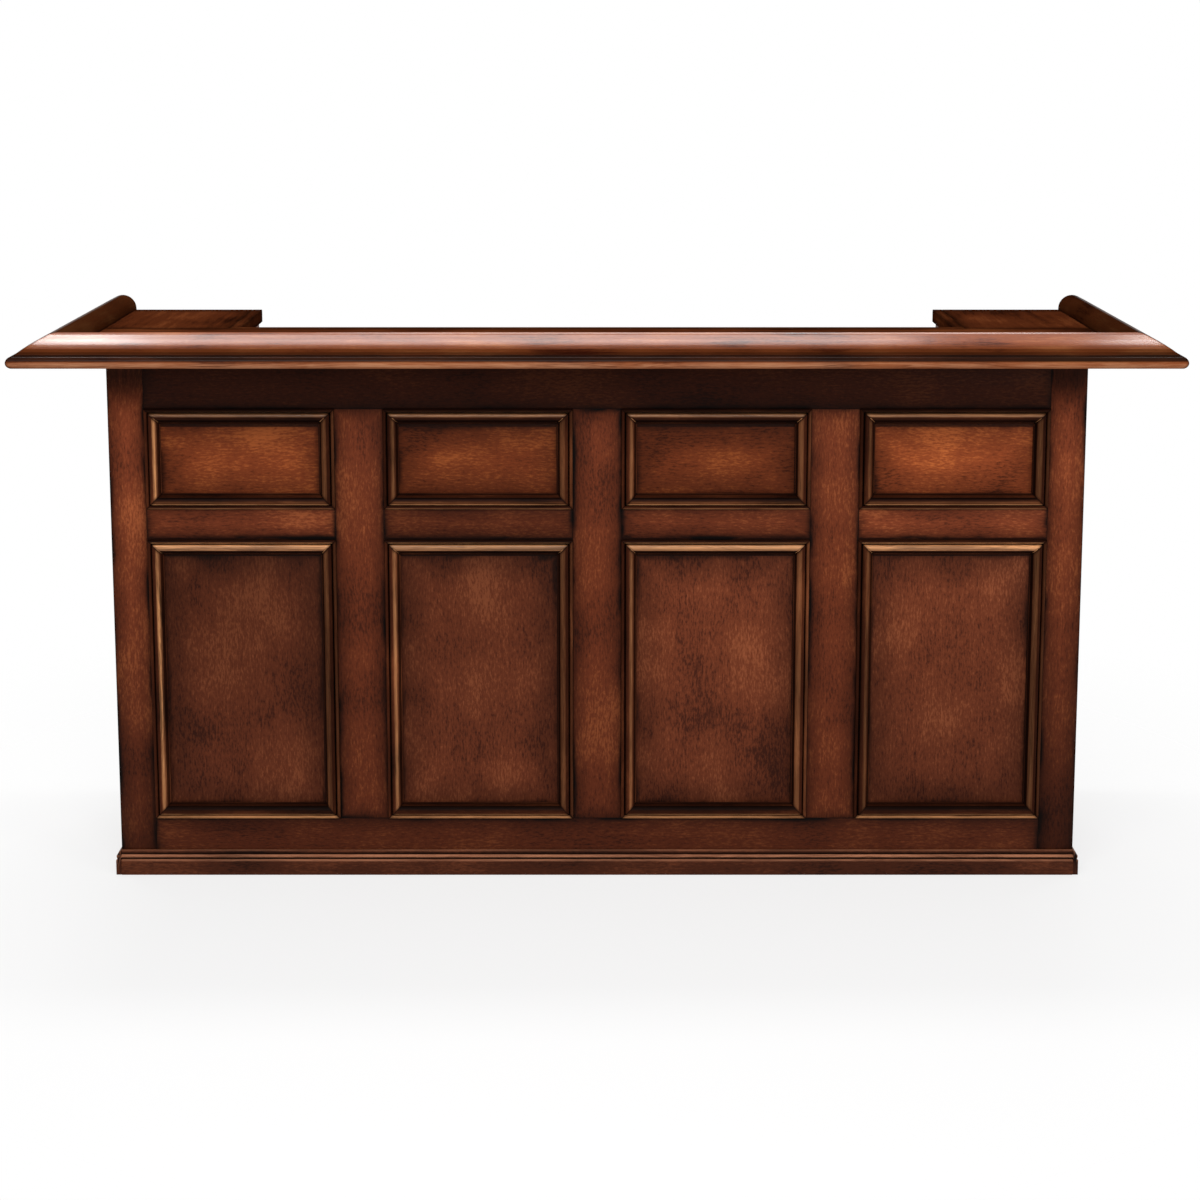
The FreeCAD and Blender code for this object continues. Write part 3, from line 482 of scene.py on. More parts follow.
        rough = sketch.math("ADD", self.roughness, sketch.swing(fibre, self.FIBRE_ROUGHNESS))
        relief = sketch.math("SUBTRACT", sketch.plus(fibre, streak, self.RELIEF_STREAK), pores)
        return sketch.surface({
            "Base Color": sketch.mix(shade, colour, linear(self.glaze)),
            "Roughness": sketch.plus(rough, shade, self.GLAZE_ROUGHNESS, clamp=True),
            "Normal": sketch.bump(self.bump, self.RELIEF_DEPTH, relief),
            "Specular IOR Level": self.specular,
            "Coat Weight": sketch.math("MULTIPLY", polish, self.coat) if self.coat else 0.0,
            "Coat Roughness": self.coat_roughness,
        })


@dataclass(frozen=True)
class MetalFinish:
    """A metal with a patina that darkens its hollows and dulls its sheen."""

    name: str
    bright: Colour
    dull: Colour
    roughness: float
    scale: float = 160.0

    DULL_STOP = 0.34
    BRIGHT_STOP = 0.62
    DULL_ROUGHNESS = 0.16
    ROUGH_START = 0.3
    ROUGH_END = 0.7
    SCRATCHES = Vector((14, 2, 14))
    SCRATCH_STRENGTH = 0.12
    SCRATCH_DEPTH = 0.0002

    @cache
    def material(self) -> Material:
        """Write the finish on object coordinates.

        Returns:
            The material.
        """
        sketch = NodeSketch.material(self.name)
        place = sketch.place()
        patina = sketch.noise(place, Wave((self.scale,) * 3, detail=4.0, rough=0.6))
        scratch = sketch.noise(place, Wave(tuple(self.SCRATCHES * self.scale), detail=2.0))
        rough = (self.ROUGH_START, self.ROUGH_END, self.roughness + self.DULL_ROUGHNESS, self.roughness)
        return sketch.surface({
            "Base Color": sketch.ramp(patina, [(self.DULL_STOP, self.dull), (self.BRIGHT_STOP, self.bright)]),
            "Metallic": 1.0,
            "Roughness": sketch.span(patina, *rough),
            "Normal": sketch.bump(self.SCRATCH_STRENGTH, self.SCRATCH_DEPTH, scratch),
        })


@dataclass
class Board:
    """A straight board between two opposite corners, the way of its grain, and how its finish came out.

    The rim is covered by other pieces, save on the back. The lean says how much more glaze and painted shade
    lie towards one edge, in its width and height. The painted top shadow is the length of its upper end that
    is darkened with painted shadow under the top's overhang, with some glaze. The foot is the share of its
    brightness that is left at its lower end.
    """

    first: Vector
    second: Vector
    grain: Grain
    seed: float
    tone: float = 1.0
    rim: float = 0.0
    ease: float = 0.0008
    lean: Triple = (0.0, 0.0, 0.0)
    dusk: float = 0.0
    back: Triple = (0.0, 0.0, 0.0)
    foot: float = 1.0

    @property
    def size(self) -> Vector:
        """Return the board's size."""
        return Vector([abs(start - end) for start, end in zip(self.first, self.second)])

    def half(self, place: Vector) -> Vector:
        """Tell half of the size that is seen.

        Args:
            place: A point of the board, from its middle.

        Returns:
            Half of the size that is seen there, with the grain along the last axis.
        """
        size = self.size
        thickness = min(size)
        rim = 0.0 if place.dot(Vector(self.back)) > 0.0 else self.rim
        return self.grain.turned(Vector([side / 2 if side == thickness else side / 2 - rim for side in size]))


@dataclass
class SectionPoint:
    """A point of a moulding's outline, with its marks."""

    inward: float
    up: float
    girth: float
    glaze: float
    crown: float


@dataclass(frozen=True)
class Zone:
    """A stretch of a moulding that ends at a distance: how its crowns and face are rubbed and lit by painted
    highlights, and its glaze with painted shade.
    """

    end: float
    crown: float = 0.0
    worn: float = 0.0
    glaze: float = 0.0
    gloss: float = 0.0


@dataclass(frozen=True)
class Rubbing:
    """How a moulding is rubbed and glazed, with painted highlights and painted shade, in zones over its width
    or height, and where it is polished.
    """

    zones: tuple[Zone, ...]
    by_height: bool = False
    polish: Pair = (0.0, 0.0)
    gloss: float = 0.0
    polish_fade: float = 0.0
    glint: Pair = (0.0, 0.0)
    # Painted shade held inwards of a distance, with its share.
    inner_glaze: Pair = (math.inf, 0.0)

    ZONE_EDGE = 0.4
    ZONE_SWELL = 2.4
    INNER_FADE = 0.006

    def glints(self, point: SectionPoint) -> bool:
        """Say whether a painted highlight, a glint, lies on a mitre where it crosses a point."""
        return self.glint[0] < point.inward < self.glint[1]

    def distance(self, point: SectionPoint) -> float:
        """Return how far across the moulding, or how high on it, a point lies."""
        return point.up if self.by_height else point.inward

    def zone(self, point: SectionPoint) -> Zone:
        """Return the zone that a point lies in."""
        return next((zone for zone in self.zones if self.distance(point) <= zone.end), Zone(math.inf))

    def worn(self, point: SectionPoint) -> float:
        """Tell how far a point is rubbed and lit by a painted highlight, most in the middle of its zone.

        Args:
            point: The point.

        Returns:
            The share of stain that is rubbed off by wear and lightened as painted highlight.
        """
        zone = self.zone(point)
        start = max((other.end for other in self.zones if other.end < zone.end), default=0.0)
        within = unit((self.distance(point) - start) / (zone.end - start))
        swell = self.ZONE_EDGE + self.ZONE_SWELL * within * (1.0 - within)
        return min(1.0, zone.worn * swell + zone.crown * point.crown)

    def glazed(self, point: SectionPoint) -> float:
        """Return the share of glaze and painted shade that a point's hollow, its zone or the inner slope
        holds.
        """
        start, share = self.inner_glaze
        return max(point.glaze, self.zone(point).glaze, share if point.inward > start else 0.0)

    def polished(self, point: SectionPoint) -> float:
        """Tell the gloss where arms polish the moulding, which fades beside it.

        Args:
            point: The point.

        Returns:
            The share of gloss.
        """
        start, end = self.polish
        rise = (point.inward - start) / self.polish_fade + 1.0 if self.polish_fade else 0.0
        fall = (end - point.inward) / self.INNER_FADE + 1.0
        return max(self.zone(point).gloss, self.gloss * unit(min(rise, fall)))


@dataclass(frozen=True)
class StickLook:
    """How one stick came out: its rubbing, how far its wear and painted highlights go, and the stick's
    brightness, which on the panel mouldings and side rails is painted light.
    """

    rubbing: Rubbing
    wear: float = 1.0
    tone: float = 1.0


class Section:
    """The outline of a moulding: distance inwards from its outer edge, then height."""

    ARC_STEP = math.radians(9)
    LEAST_ARC_STEPS = 4
    SAME_PLACE = 1e-6
    HOLLOW_GAIN = 2.6
    CROWN_GAIN = 3.2
    CROWN_START = 0.12
    CONTACT_FADE = 1.5

    def __init__(self, *corners: Pair) -> None:
        """Start the outline with corners."""
        self.corners: list[Vector] = [Vector(corner) for corner in corners]

    def line(self, *corners: Pair) -> "Section":
        """Go on through corners and return the section."""
        self.corners += [Vector(corner) for corner in corners]
        return self

    def arc(self, centre: Pair, radius: float, start: float, end: float) -> "Section":
        """Go on along an arc.

        Args:
            centre: The arc's centre.
            radius: Its radius.
            start: The angle where it starts, in degrees from the inward direction.
            end: The angle where it ends.

        Returns:
            The section itself.
        """
        steps = max(self.LEAST_ARC_STEPS, math.ceil(abs(math.radians(end - start)) / self.ARC_STEP))
        for step in range(steps + 1):
            angle = math.radians(start + (end - start) * step / steps)
            point = Vector((centre[0] + radius * math.cos(angle), centre[1] + radius * math.sin(angle)))
            if (point - self.corners[-1]).length > self.SAME_PLACE:
                self.corners.append(point)
        return self

    def _walk(self, spacing: float) -> list[Vector]:
        """Walk round the outline.

        Args:
            spacing: The greatest distance between points.

        Returns:
            The points, anticlockwise.
        """
        corners = self.corners
        area = sum(a.x * b.y - b.x * a.y for a, b in zip(corners, corners[1:] + corners[:1]))
        if area < 0:
            corners = corners[::-1]
        walk = []
        for first, second in zip(corners, corners[1:] + corners[:1]):
            pieces = max(1, math.ceil((second - first).length / spacing))
            walk += [first.lerp(second, piece / pieces) for piece in range(pieces)]
        return walk

    def points(self, spacing: float, reach: float, contact: float = 0.0) -> list[SectionPoint]:
        """Return the outline with the marks of its finish, with painted shade in its hollows and painted
        highlights on its crowns.

        Args:
            spacing: The greatest distance between points.
            reach: How far along the outline a hollow or crown is felt.
            contact: Up to this height the moulding meets what carries it, and holds glaze with painted shade.

        Returns:
            The points, anticlockwise.
        """
        walk = self._walk(spacing)
        lengths = [(after - here).length for here, after in zip(walk, walk[1:] + walk[:1])]
        found = []
        girth = 0.0
        for index, here in enumerate(walk):
            before = self._along(walk, lengths, index, -reach)
            after = self._along(walk, lengths, index, reach)
            chord = after - before
            outward = Vector((chord.y, -chord.x)).normalized()
            bulge = ((before + after) / 2 - here).dot(outward) / reach
            # Hollows take dark glaze with painted shade; crowns take wear with painted highlights.
            glaze = unit(bulge * self.HOLLOW_GAIN)
            if contact:
                glaze = max(glaze, unit(self.CONTACT_FADE - here.y / contact))
            crown = unit(-bulge * self.CROWN_GAIN - self.CROWN_START)
            found.append(SectionPoint(here.x, here.y, girth, glaze, crown))
            girth += lengths[index]
        return found

    @staticmethod
    def _along(walk: list[Vector], lengths: list[float], index: int, distance: float) -> Vector:
        """Find the point of a closed walk at a distance from one of its points.

        Args:
            walk: The walk's points.
            lengths: The length from each point to the next.
            index: The point to start from.
            distance: How far to go, backwards where it is negative.

        Returns:
            The point.
        """
        left = abs(distance)
        step = 1 if distance > 0 else -1
        while True:
            following = (index + step) % len(walk)
            length = lengths[index] if step > 0 else lengths[following]
            if length >= left:
                return walk[index].lerp(walk[following], left / length)
            left -= length
            index = following


@dataclass
class Stick:
    """A straight length of moulding, from one end of its outer edge to the other."""

    start: Vector
    end: Vector
    inward: Vector
    up: Vector
    seed: float
    look: StickLook
    mitred: tuple[bool, bool] = (True, True)


class Shell:
    """Collects the points, faces and marks of one piece."""

    MARKS = ("glaze", "worn", "tone", "seed", "polish")
    MITRE_MARKS = ((0.0, 0.95), (0.0008, 0.8), (0.0016, 0.5), (0.0028, 0.3), (0.007, 0.0))
    # At this distance from a stick's end a mitre can carry a painted highlight, a glint, with a raised tone.
    GLINT_AT = 0.0016
    GLINT_TONE = 2.0
    END_EASE = 0.0012
    EASE_STEPS = 2
    # The painted shadow under the top's overhang, with some glaze, deepens over a board's upper end in these
    # steps.
    DUSK_STEPS = 6
    DUSK_GAIN = 1.8
    DUSK_SHARE = 0.9

    def __init__(self) -> None:
        """Start with nothing."""
        self.points: list[Vector] = []
        self.faces: list[list[int]] = []
        self.at: list[Vector] = []
        self.half: list[Vector] = []
        self.marks: dict[str, list[float]] = {mark: [] for mark in self.MARKS}

    def point(self, place: Vector, at: Vector, half: Vector, **marks: float) -> int:
        """Add a point.

        Args:
            place: Where it is.
            at: Its place in its board, with the grain along the last axis.
            half: Half of its board's size on the same axes.
            **marks: Its other marks, which are 0 where they aren't given.

        Returns:
            The point's number.
        """
        self.points.append(place)
        self.at.append(at)
        self.half.append(half)
        for mark in self.MARKS:
            self.marks[mark].append(marks.get(mark, 0.0))
        return len(self.points) - 1

    def skin(self, rings: Sequence[Sequence[int]], flip: bool = False) -> None:
        """Add the faces between rings of points.

        Args:
            rings: The rings, where one of a single point is a tip.
            flip: Whether the faces are turned round.
        """
        count = max(len(ring) for ring in rings)
        for first, second in zip(rings, rings[1:]):
            for index in range(count):
                following = index + 1
                lower = [first[index % len(first)], first[following % len(first)]]
                upper = [second[following % len(second)], second[index % len(second)]]
                face = list(dict.fromkeys(lower + upper))
                self.faces.append(face[::-1] if flip else face)

    def boards(self, *boards: Board) -> "Shell":
        """Add boards with eased edges.

        Args:
            *boards: The boards.

        Returns:
            The shell itself.
        """
        for board in boards:
            centre, size = (board.first + board.second) / 2, board.size
            block = bmesh.new()
            bmesh.ops.create_cube(block, size=1.0)
            bmesh.ops.scale(block, vec=size, verts=block.verts)
            bmesh.ops.bevel(block, geom=block.edges[:], offset=board.ease, segments=self.EASE_STEPS,
                            profile=0.5, affect="EDGES")
            for step in range(1, self.DUSK_STEPS + 1 if board.dusk else 1):
                height = size.z / 2 - board.dusk * step / self.DUSK_STEPS
                whole = block.verts[:] + block.edges[:] + block.faces[:]
                bmesh.ops.bisect_plane(block, geom=whole, plane_co=(0, 0, height), plane_no=UP)
            numbers = {}
            for corner in block.verts:
                at = board.grain.turned(corner.co + Vector(board.lean))
                # Painted shadow under the top's overhang, with some glaze, darkens the upper end.
                deep = (corner.co.z - size.z / 2) / board.dusk + 1.0 if board.dusk else 0.0
                tone = board.tone * (board.foot + (1.0 - board.foot) * (corner.co.z / size.z + 0.5))
                glaze = self.DUSK_SHARE * unit(self.DUSK_GAIN * deep)
                numbers[corner] = self.point(corner.co + centre, at, board.half(corner.co), tone=tone,
                                             seed=board.seed, glaze=glaze)
            faces = [[numbers[corner] for corner in face.verts] for face in block.faces]
            self.faces += sorted(self._from_least(face) for face in faces)
            block.free()
        return self

    @staticmethod
    def _from_least(face: list[int]) -> list[int]:
        """Return a face from its least point on, so that cut boards have their faces in a fixed order."""
        start = face.index(min(face))
        return face[start:] + face[:start]

    def sticks(self, section: list[SectionPoint], *sticks: Stick) -> "Shell":
        """Add lengths of moulding, with glaze in their mitres.

        Args:
            section: The moulding's outline.
            *sticks: The lengths.

        Returns:
            The shell itself.
        """
        middle = sum((Vector((mark.inward, mark.up)) for mark in section), Vector((0, 0))) / len(section)
        for stick in sticks:
            way = (stick.end - stick.start).normalized()
            length = (stick.end - stick.start).length
            rings = []
            for mitred, at_start in zip(stick.mitred, (True, False)):
                stations = self.MITRE_MARKS if mitred else ((0.0, 0.0), (self.END_EASE, 0.0))
                for offset, glaze in stations if at_start else stations[::-1]:
                    inset = 0.0 if mitred or offset else self.END_EASE
                    ring = []
                    for mark in section:
                        flat = Vector((mark.inward, mark.up))
                        flat += (middle - flat).normalized() * inset
                        run = offset + (mark.inward if mitred else 0.0)
                        along = run if at_start else length - run
                        place = stick.start + way * along + stick.inward * flat.x + stick.up * flat.y
                        marks = self._stick_marks(stick.look, mark, offset, glaze, mitred)
                        at = Vector((mark.girth, 0.0, along))
                        ring.append(self.point(place, at, EDGELESS, seed=stick.seed, **marks))
                    rings.append(ring)
            flip = stick.inward.cross(stick.up).dot(way) <= 0
            self.skin(rings, flip)
            self.faces.append(rings[0] if flip else rings[0][::-1])
            self.faces.append(rings[-1][::-1] if flip else rings[-1])
        return self

    def _stick_marks(self, look: StickLook, mark: SectionPoint, offset: float, glaze: float,
                     mitred: bool) -> dict[str, float]:
        """Work out the marks of a point on a stick.

        Args:
            look: How the stick came out.
            mark: The outline's point.
            offset: Its distance from the stick's end.
            glaze: The glaze that the mitre holds there.
            mitred: Whether that end is mitred.

        Returns:
            The marks by name.
        """
        rubbing = look.rubbing
        polish = rubbing.polished(mark) * (min(1.0, offset / self.MITRE_MARKS[-1][0]) if mitred else 1.0)
        # A painted glint on the mitre: no glaze, full lightening and a raised tone.
        if offset == self.GLINT_AT and rubbing.glints(mark):
            return {"glaze": 0.0, "worn": 1.0, "tone": self.GLINT_TONE, "polish": polish}
        worn = min(1.0, rubbing.worn(mark) * look.wear) * (1 - glaze)
        return {"glaze": max(rubbing.glazed(mark), glaze), "worn": worn, "tone": look.tone, "polish": polish}

    def lathe(self, outline: Sequence[Pair], foot: Vector, seed: float, turns: int = 48) -> "Shell":
        """Add a turned piece that stands on a rear face.

        Args:
            outline: Radius and distance from the face, from the foot to the tip, both on the axis.
            foot: The middle of its foot.
            seed: The piece's seed.
            turns: The number of points round it.

        Returns:
            The shell itself.
        """
        rings = []
        for radius, rise in outline:
            ring = []
            for turn in range(turns if radius > 0 else 1):
                angle = 2 * math.pi * turn / turns
                across, up = radius * math.cos(angle), radius * math.sin(angle)
                place = foot + Vector((across, rise, up))
                ring.append(self.point(place, Vector((across, up, rise)), EDGELESS, tone=1.0, seed=seed))
            rings.append(ring)
        self.skin(rings)
        return self

    def piece(self, name: str, material: Material) -> bpy.types.Object:
        """Return the collected shape as an object with its marks.

        Args:
            name: The object's name.
            material: Its finish.

        Returns:
            The object, linked to the scene.
        """
        mesh = bpy.data.meshes.new(name)
        mesh.from_pydata(self.points, [], self.faces)
        for label, vectors in (("board_at", self.at), ("board_half", self.half)):
            layer = mesh.attributes.new(label, "FLOAT_VECTOR", "POINT")
            layer.data.foreach_set("vector", [value for vector in vectors for value in vector])
        for mark in self.MARKS:
            mesh.attributes.new(mark, "FLOAT", "POINT").data.foreach_set("value", self.marks[mark])
        mesh.materials.append(material)
        mesh.validate()
        shape = bmesh.new()
        shape.from_mesh(mesh)
        bmesh.ops.recalc_face_normals(shape, faces=shape.faces)
        shape.to_mesh(mesh)
        shape.free()
        mesh.shade_smooth()
        mesh.set_sharp_from_angle(angle=SHARP_ANGLE)
        return linked(name, mesh)

    def stand_for(self, node: str, finish: WoodFinish, slot: str, body: Body = Body.CABINET) -> None:
        """Place the piece in the stead of a solid of the frame."""
        place_piece(self.piece(f"{node}_wood", finish.on_marks()), body, slot, node)


def place_piece(piece: bpy.types.Object, body: Body, slot: str, *nodes: str) -> None:
    """Let a piece ride on a body and stand for solids of the frame.

    Args:
        piece: The piece.
        body: What it moves with.
        slot: The record's material slot; not used.
        *nodes: The solids that it stands for.
    """
    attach(piece, body.value)
    if nodes:
        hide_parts(*nodes)
    LOG.info("%s: %d faces on %s", piece.name, len(piece.data.polygons), body.value)


def dress_node(node: str, material: Material) -> None:
    """Give a solid of the frame its finish.

    Args:
        node: The solid's name.
        material: The finish.
    """
    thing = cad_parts[node]
    thing.data.materials.clear()
    thing.data.materials.append(material)
    LOG.info("%s: dressed", node)


FRAME_STAIN = WoodFinish("frame_stain", (60, 27, 16), (99, 46, 26), (134, 71, 40), blotch=0.7, speckle=0.8,
                         line_width=0.0021)
UPPER_STAIN = WoodFinish("upper_panel_stain", (66, 29, 14), (114, 53, 27), (152, 80, 40), tight_width=0.012,
                         tight_strength=0.36, wide_width=0.075, wide_strength=0.44, speckle=0.8)
LOWER_STAIN = replace(UPPER_STAIN, name="lower_panel_stain", dark=(70, 33, 21), middle=(113, 56, 34),
                      light=(146, 80, 50), speckle=0.95)
# Its light colour serves wear and the painted highlights on the panel mouldings.
MOULDING_STAIN = WoodFinish("moulding_stain", (30, 13, 7), (62, 29, 16), (94, 49, 28), worn=(204, 144, 95),
                            roughness=0.3, specular=0.02, coat=0.6, coat_roughness=0.25, streak=1.1,
                            speckle=0.3, bump=0.15)
# Its light colour serves wear and the painted reflection under the lip.
RAIL_STAIN = WoodFinish("rail_stain", (72, 27, 14), (139, 71, 36), (174, 102, 57), worn=(188, 132, 98),
                        roughness=0.36, specular=0.0, coat=0.84, coat_roughness=0.22, streak=1.3, fibre=0.5,
                        speckle=0.2, least_wear=0.12, bump=0.06)
TOP_STAIN = WoodFinish("top_stain", (50, 21, 10), (92, 44, 22), (124, 66, 35), roughness=0.46, specular=0.0,
                       tight_strength=0.25, streak=1.0, speckle=0.3, bump=0.12, edge_wear=0.2)
# Its light colour serves wear and the painted highlights on the bead.
PLINTH_STAIN = WoodFinish("plinth_stain", (34, 15, 9), (67, 33, 20), (98, 52, 32), worn=(198, 134, 100),
                          roughness=0.4)
CABINET_STAIN = WoodFinish("cabinet_stain", (60, 27, 16), (97, 46, 26), (126, 66, 37), wide_strength=0.3,
                           edge_wear=0.2, blotch=0.6)
BRASS = MetalFinish("antique_brass", (174, 136, 80), (126, 96, 55), 0.28, scale=340.0)
STEEL = MetalFinish("zinc_steel", (188, 189, 190), (128, 129, 132), 0.32)


@cache
def moulding_section() -> list[SectionPoint]:
    """Draw the moulding round a panel: bead, groove, nose, ovolo and fillet.

    Returns:
        The points of its section.
    """
    section = Section((0.0, 0.0), (0.0, 0.0095)).arc((0.003, 0.0095), 0.003, 180, 0)
    section.line((0.00725, 0.0080), (0.0085, 0.0095), (0.0085, 0.0120))
    section.arc((0.0125, 0.0120), 0.004, 180, 90).arc((0.0125, 0.0020), 0.014, 90, 0)
    section.line((0.0290, 0.0020), (0.0290, 0.0))
    return section.points(spacing=0.0011, reach=0.0024, contact=0.0012)


class PanelRubbing(Enum):
    """The wear, glaze, painted highlights and painted shade of the moulding round a panel, by the side it lies
    on: bead, nose, ovolo, foot and fillet.
    """

    LOWER_BOTTOM = Rubbing((
        Zone(0.0068, crown=0.35, worn=0.42), Zone(0.0108, worn=0.8), Zone(0.0130, glaze=0.2),
        Zone(0.0165, glaze=0.45), Zone(0.0190, glaze=0.7), Zone(0.0245, glaze=0.95), Zone(0.0290, glaze=0.5)))
    UPPER_BOTTOM = Rubbing((
        Zone(0.0022, worn=0.6), Zone(0.0075, glaze=0.3), Zone(0.0112, worn=0.85), Zone(0.0165, worn=0.1),
        Zone(0.0190, glaze=0.55), Zone(0.0225, glaze=0.95), Zone(0.0290, glaze=0.25)))
    RIGHT = Rubbing((
        Zone(0.0070, crown=0.06, glaze=0.05), Zone(0.0095, glaze=0.3), Zone(0.0145, glaze=0.42),
        Zone(0.0240, worn=0.16), Zone(0.0275, glaze=0.85), Zone(0.0290, glaze=0.4)))
    LOWER_TOP = Rubbing((
        Zone(0.0040, glaze=0.75), Zone(0.0072, worn=0.9, gloss=0.7), Zone(0.0160, worn=1.0, gloss=1.0),
        Zone(0.0195, worn=0.6, gloss=0.4), Zone(0.0205, glaze=0.2), Zone(0.0245, glaze=0.92),
        Zone(0.0290, glaze=0.2)), glint=(0.0160, 0.0250))
    UPPER_TOP = Rubbing((
        Zone(0.0050, glaze=0.75), Zone(0.0072, worn=0.7, gloss=0.7), Zone(0.0145, worn=1.0, gloss=1.0),
        Zone(0.0160, worn=0.1), Zone(0.0200, glaze=0.5), Zone(0.0250, glaze=0.92), Zone(0.0290, glaze=0.4)),
        glint=(0.0160, 0.0250))
    LEFT = Rubbing((
        Zone(0.0055, glaze=0.45), Zone(0.0092, glaze=0.75), Zone(0.0125, glaze=0.5), Zone(0.0148, glaze=0.25),
        Zone(0.0165, worn=0.5), Zone(0.0215, worn=1.0), Zone(0.0235, worn=0.2), Zone(0.0270, glaze=0.7),
        Zone(0.0290, glaze=0.25)))

    @classmethod
    def level_sides(cls, level: int) -> tuple[Rubbing, Rubbing]:
        """Return the wear of the bottom and top sticks round the lower panels, level 0, or the upper ones."""
        sides = ((cls.LOWER_BOTTOM, cls.LOWER_TOP), (cls.UPPER_BOTTOM, cls.UPPER_TOP))[level]
        return sides[0].value, sides[1].value


def framed_sticks(low: Vector, high: Vector, up: Vector, seed: float,
                  looks: Sequence[StickLook]) -> list[Stick]:
    """Set four mitred sticks round an opening in an upright face.

    Args:
        low: One of the opening's lower corners.
        high: The upper corner across from it.
        up: The way the moulding stands out.
        seed: The first stick's seed.
        looks: How the lower stick and the others, in order round the opening, came out.

    Returns:
        The sticks.
    """
    seed_step = 0.37
    corners = [low, Vector((high.x, high.y, low.z)), high, Vector((low.x, low.y, high.z))]
    middle = sum(corners, Vector()) / 4
    sticks = []
    for number, (start, end) in enumerate(zip(corners, corners[1:] + corners[:1])):
        inward = (end - start).normalized().cross(up)
        if inward.dot(middle - start) < 0:
            inward = -inward
        sticks.append(Stick(start, end, inward, up, seed_of((seed, seed_step), number), looks[number]))
    return sticks


@dataclass
class PanelledWall(ABC):
    """A wall with a lower and an upper row of framed panels."""

    height: float = 1.010
    thickness: float = 0.022
    rows: tuple[Pair, Pair] = ((0.111, 0.660), (0.720, 0.912))
    recess: float = 0.008
    moulding_width: float = 0.029
    # How far down the stiles the painted shadow under the top's overhang reaches.
    stile_dusk: float = 0.110

    @property
    @abstractmethod
    def outward(self) -> Vector:
        """Return the way the wall faces."""

    @abstractmethod
    def put(self, along: float, depth: float, rise: float) -> Vector:
        """Return a place by its distance along the wall, its depth behind the face and its height."""

    def member(self, span: Pair, rise: Pair, grain: Grain, seed: float, tone: float,
               **finish: object) -> Board:
        """Return a member of the frame, flush with the wall's face."""
        near, far = self.put(span[0], 0.0, rise[0]), self.put(span[1], self.thickness, rise[1])
        return Board(near, far, grain, seed, tone, **finish)

    def panel(self, span: Pair, level: int, grain: Grain, seed: float, tone: float,
              **finish: object) -> Board:
        """Lay a panel, set back from the frame's face.

        Args:
            span: Where its opening starts and ends along the wall.
            level: 0 for the lower row, 1 for the upper one.
            grain: The way its grain runs.
            seed: Its seed.
            tone: Its brightness.
            **finish: What else is known of its finish.

        Returns:
            The panel.
        """
        low, high = self.rows[level]
        near, far = self.put(span[0], self.recess, low), self.put(span[1], self.thickness, high)
        return Board(near, far, grain, seed, tone, self.moulding_width, back=-self.outward, **finish)

    def moulding(self, span: Pair, level: int, seed: float, looks: Sequence[StickLook]) -> list[Stick]:
        """Return the sticks round a panel."""
        low, high = [self.put(span[end], self.recess, self.rows[level][end]) for end in (0, 1)]
        return framed_sticks(low, high, self.outward, seed, looks)


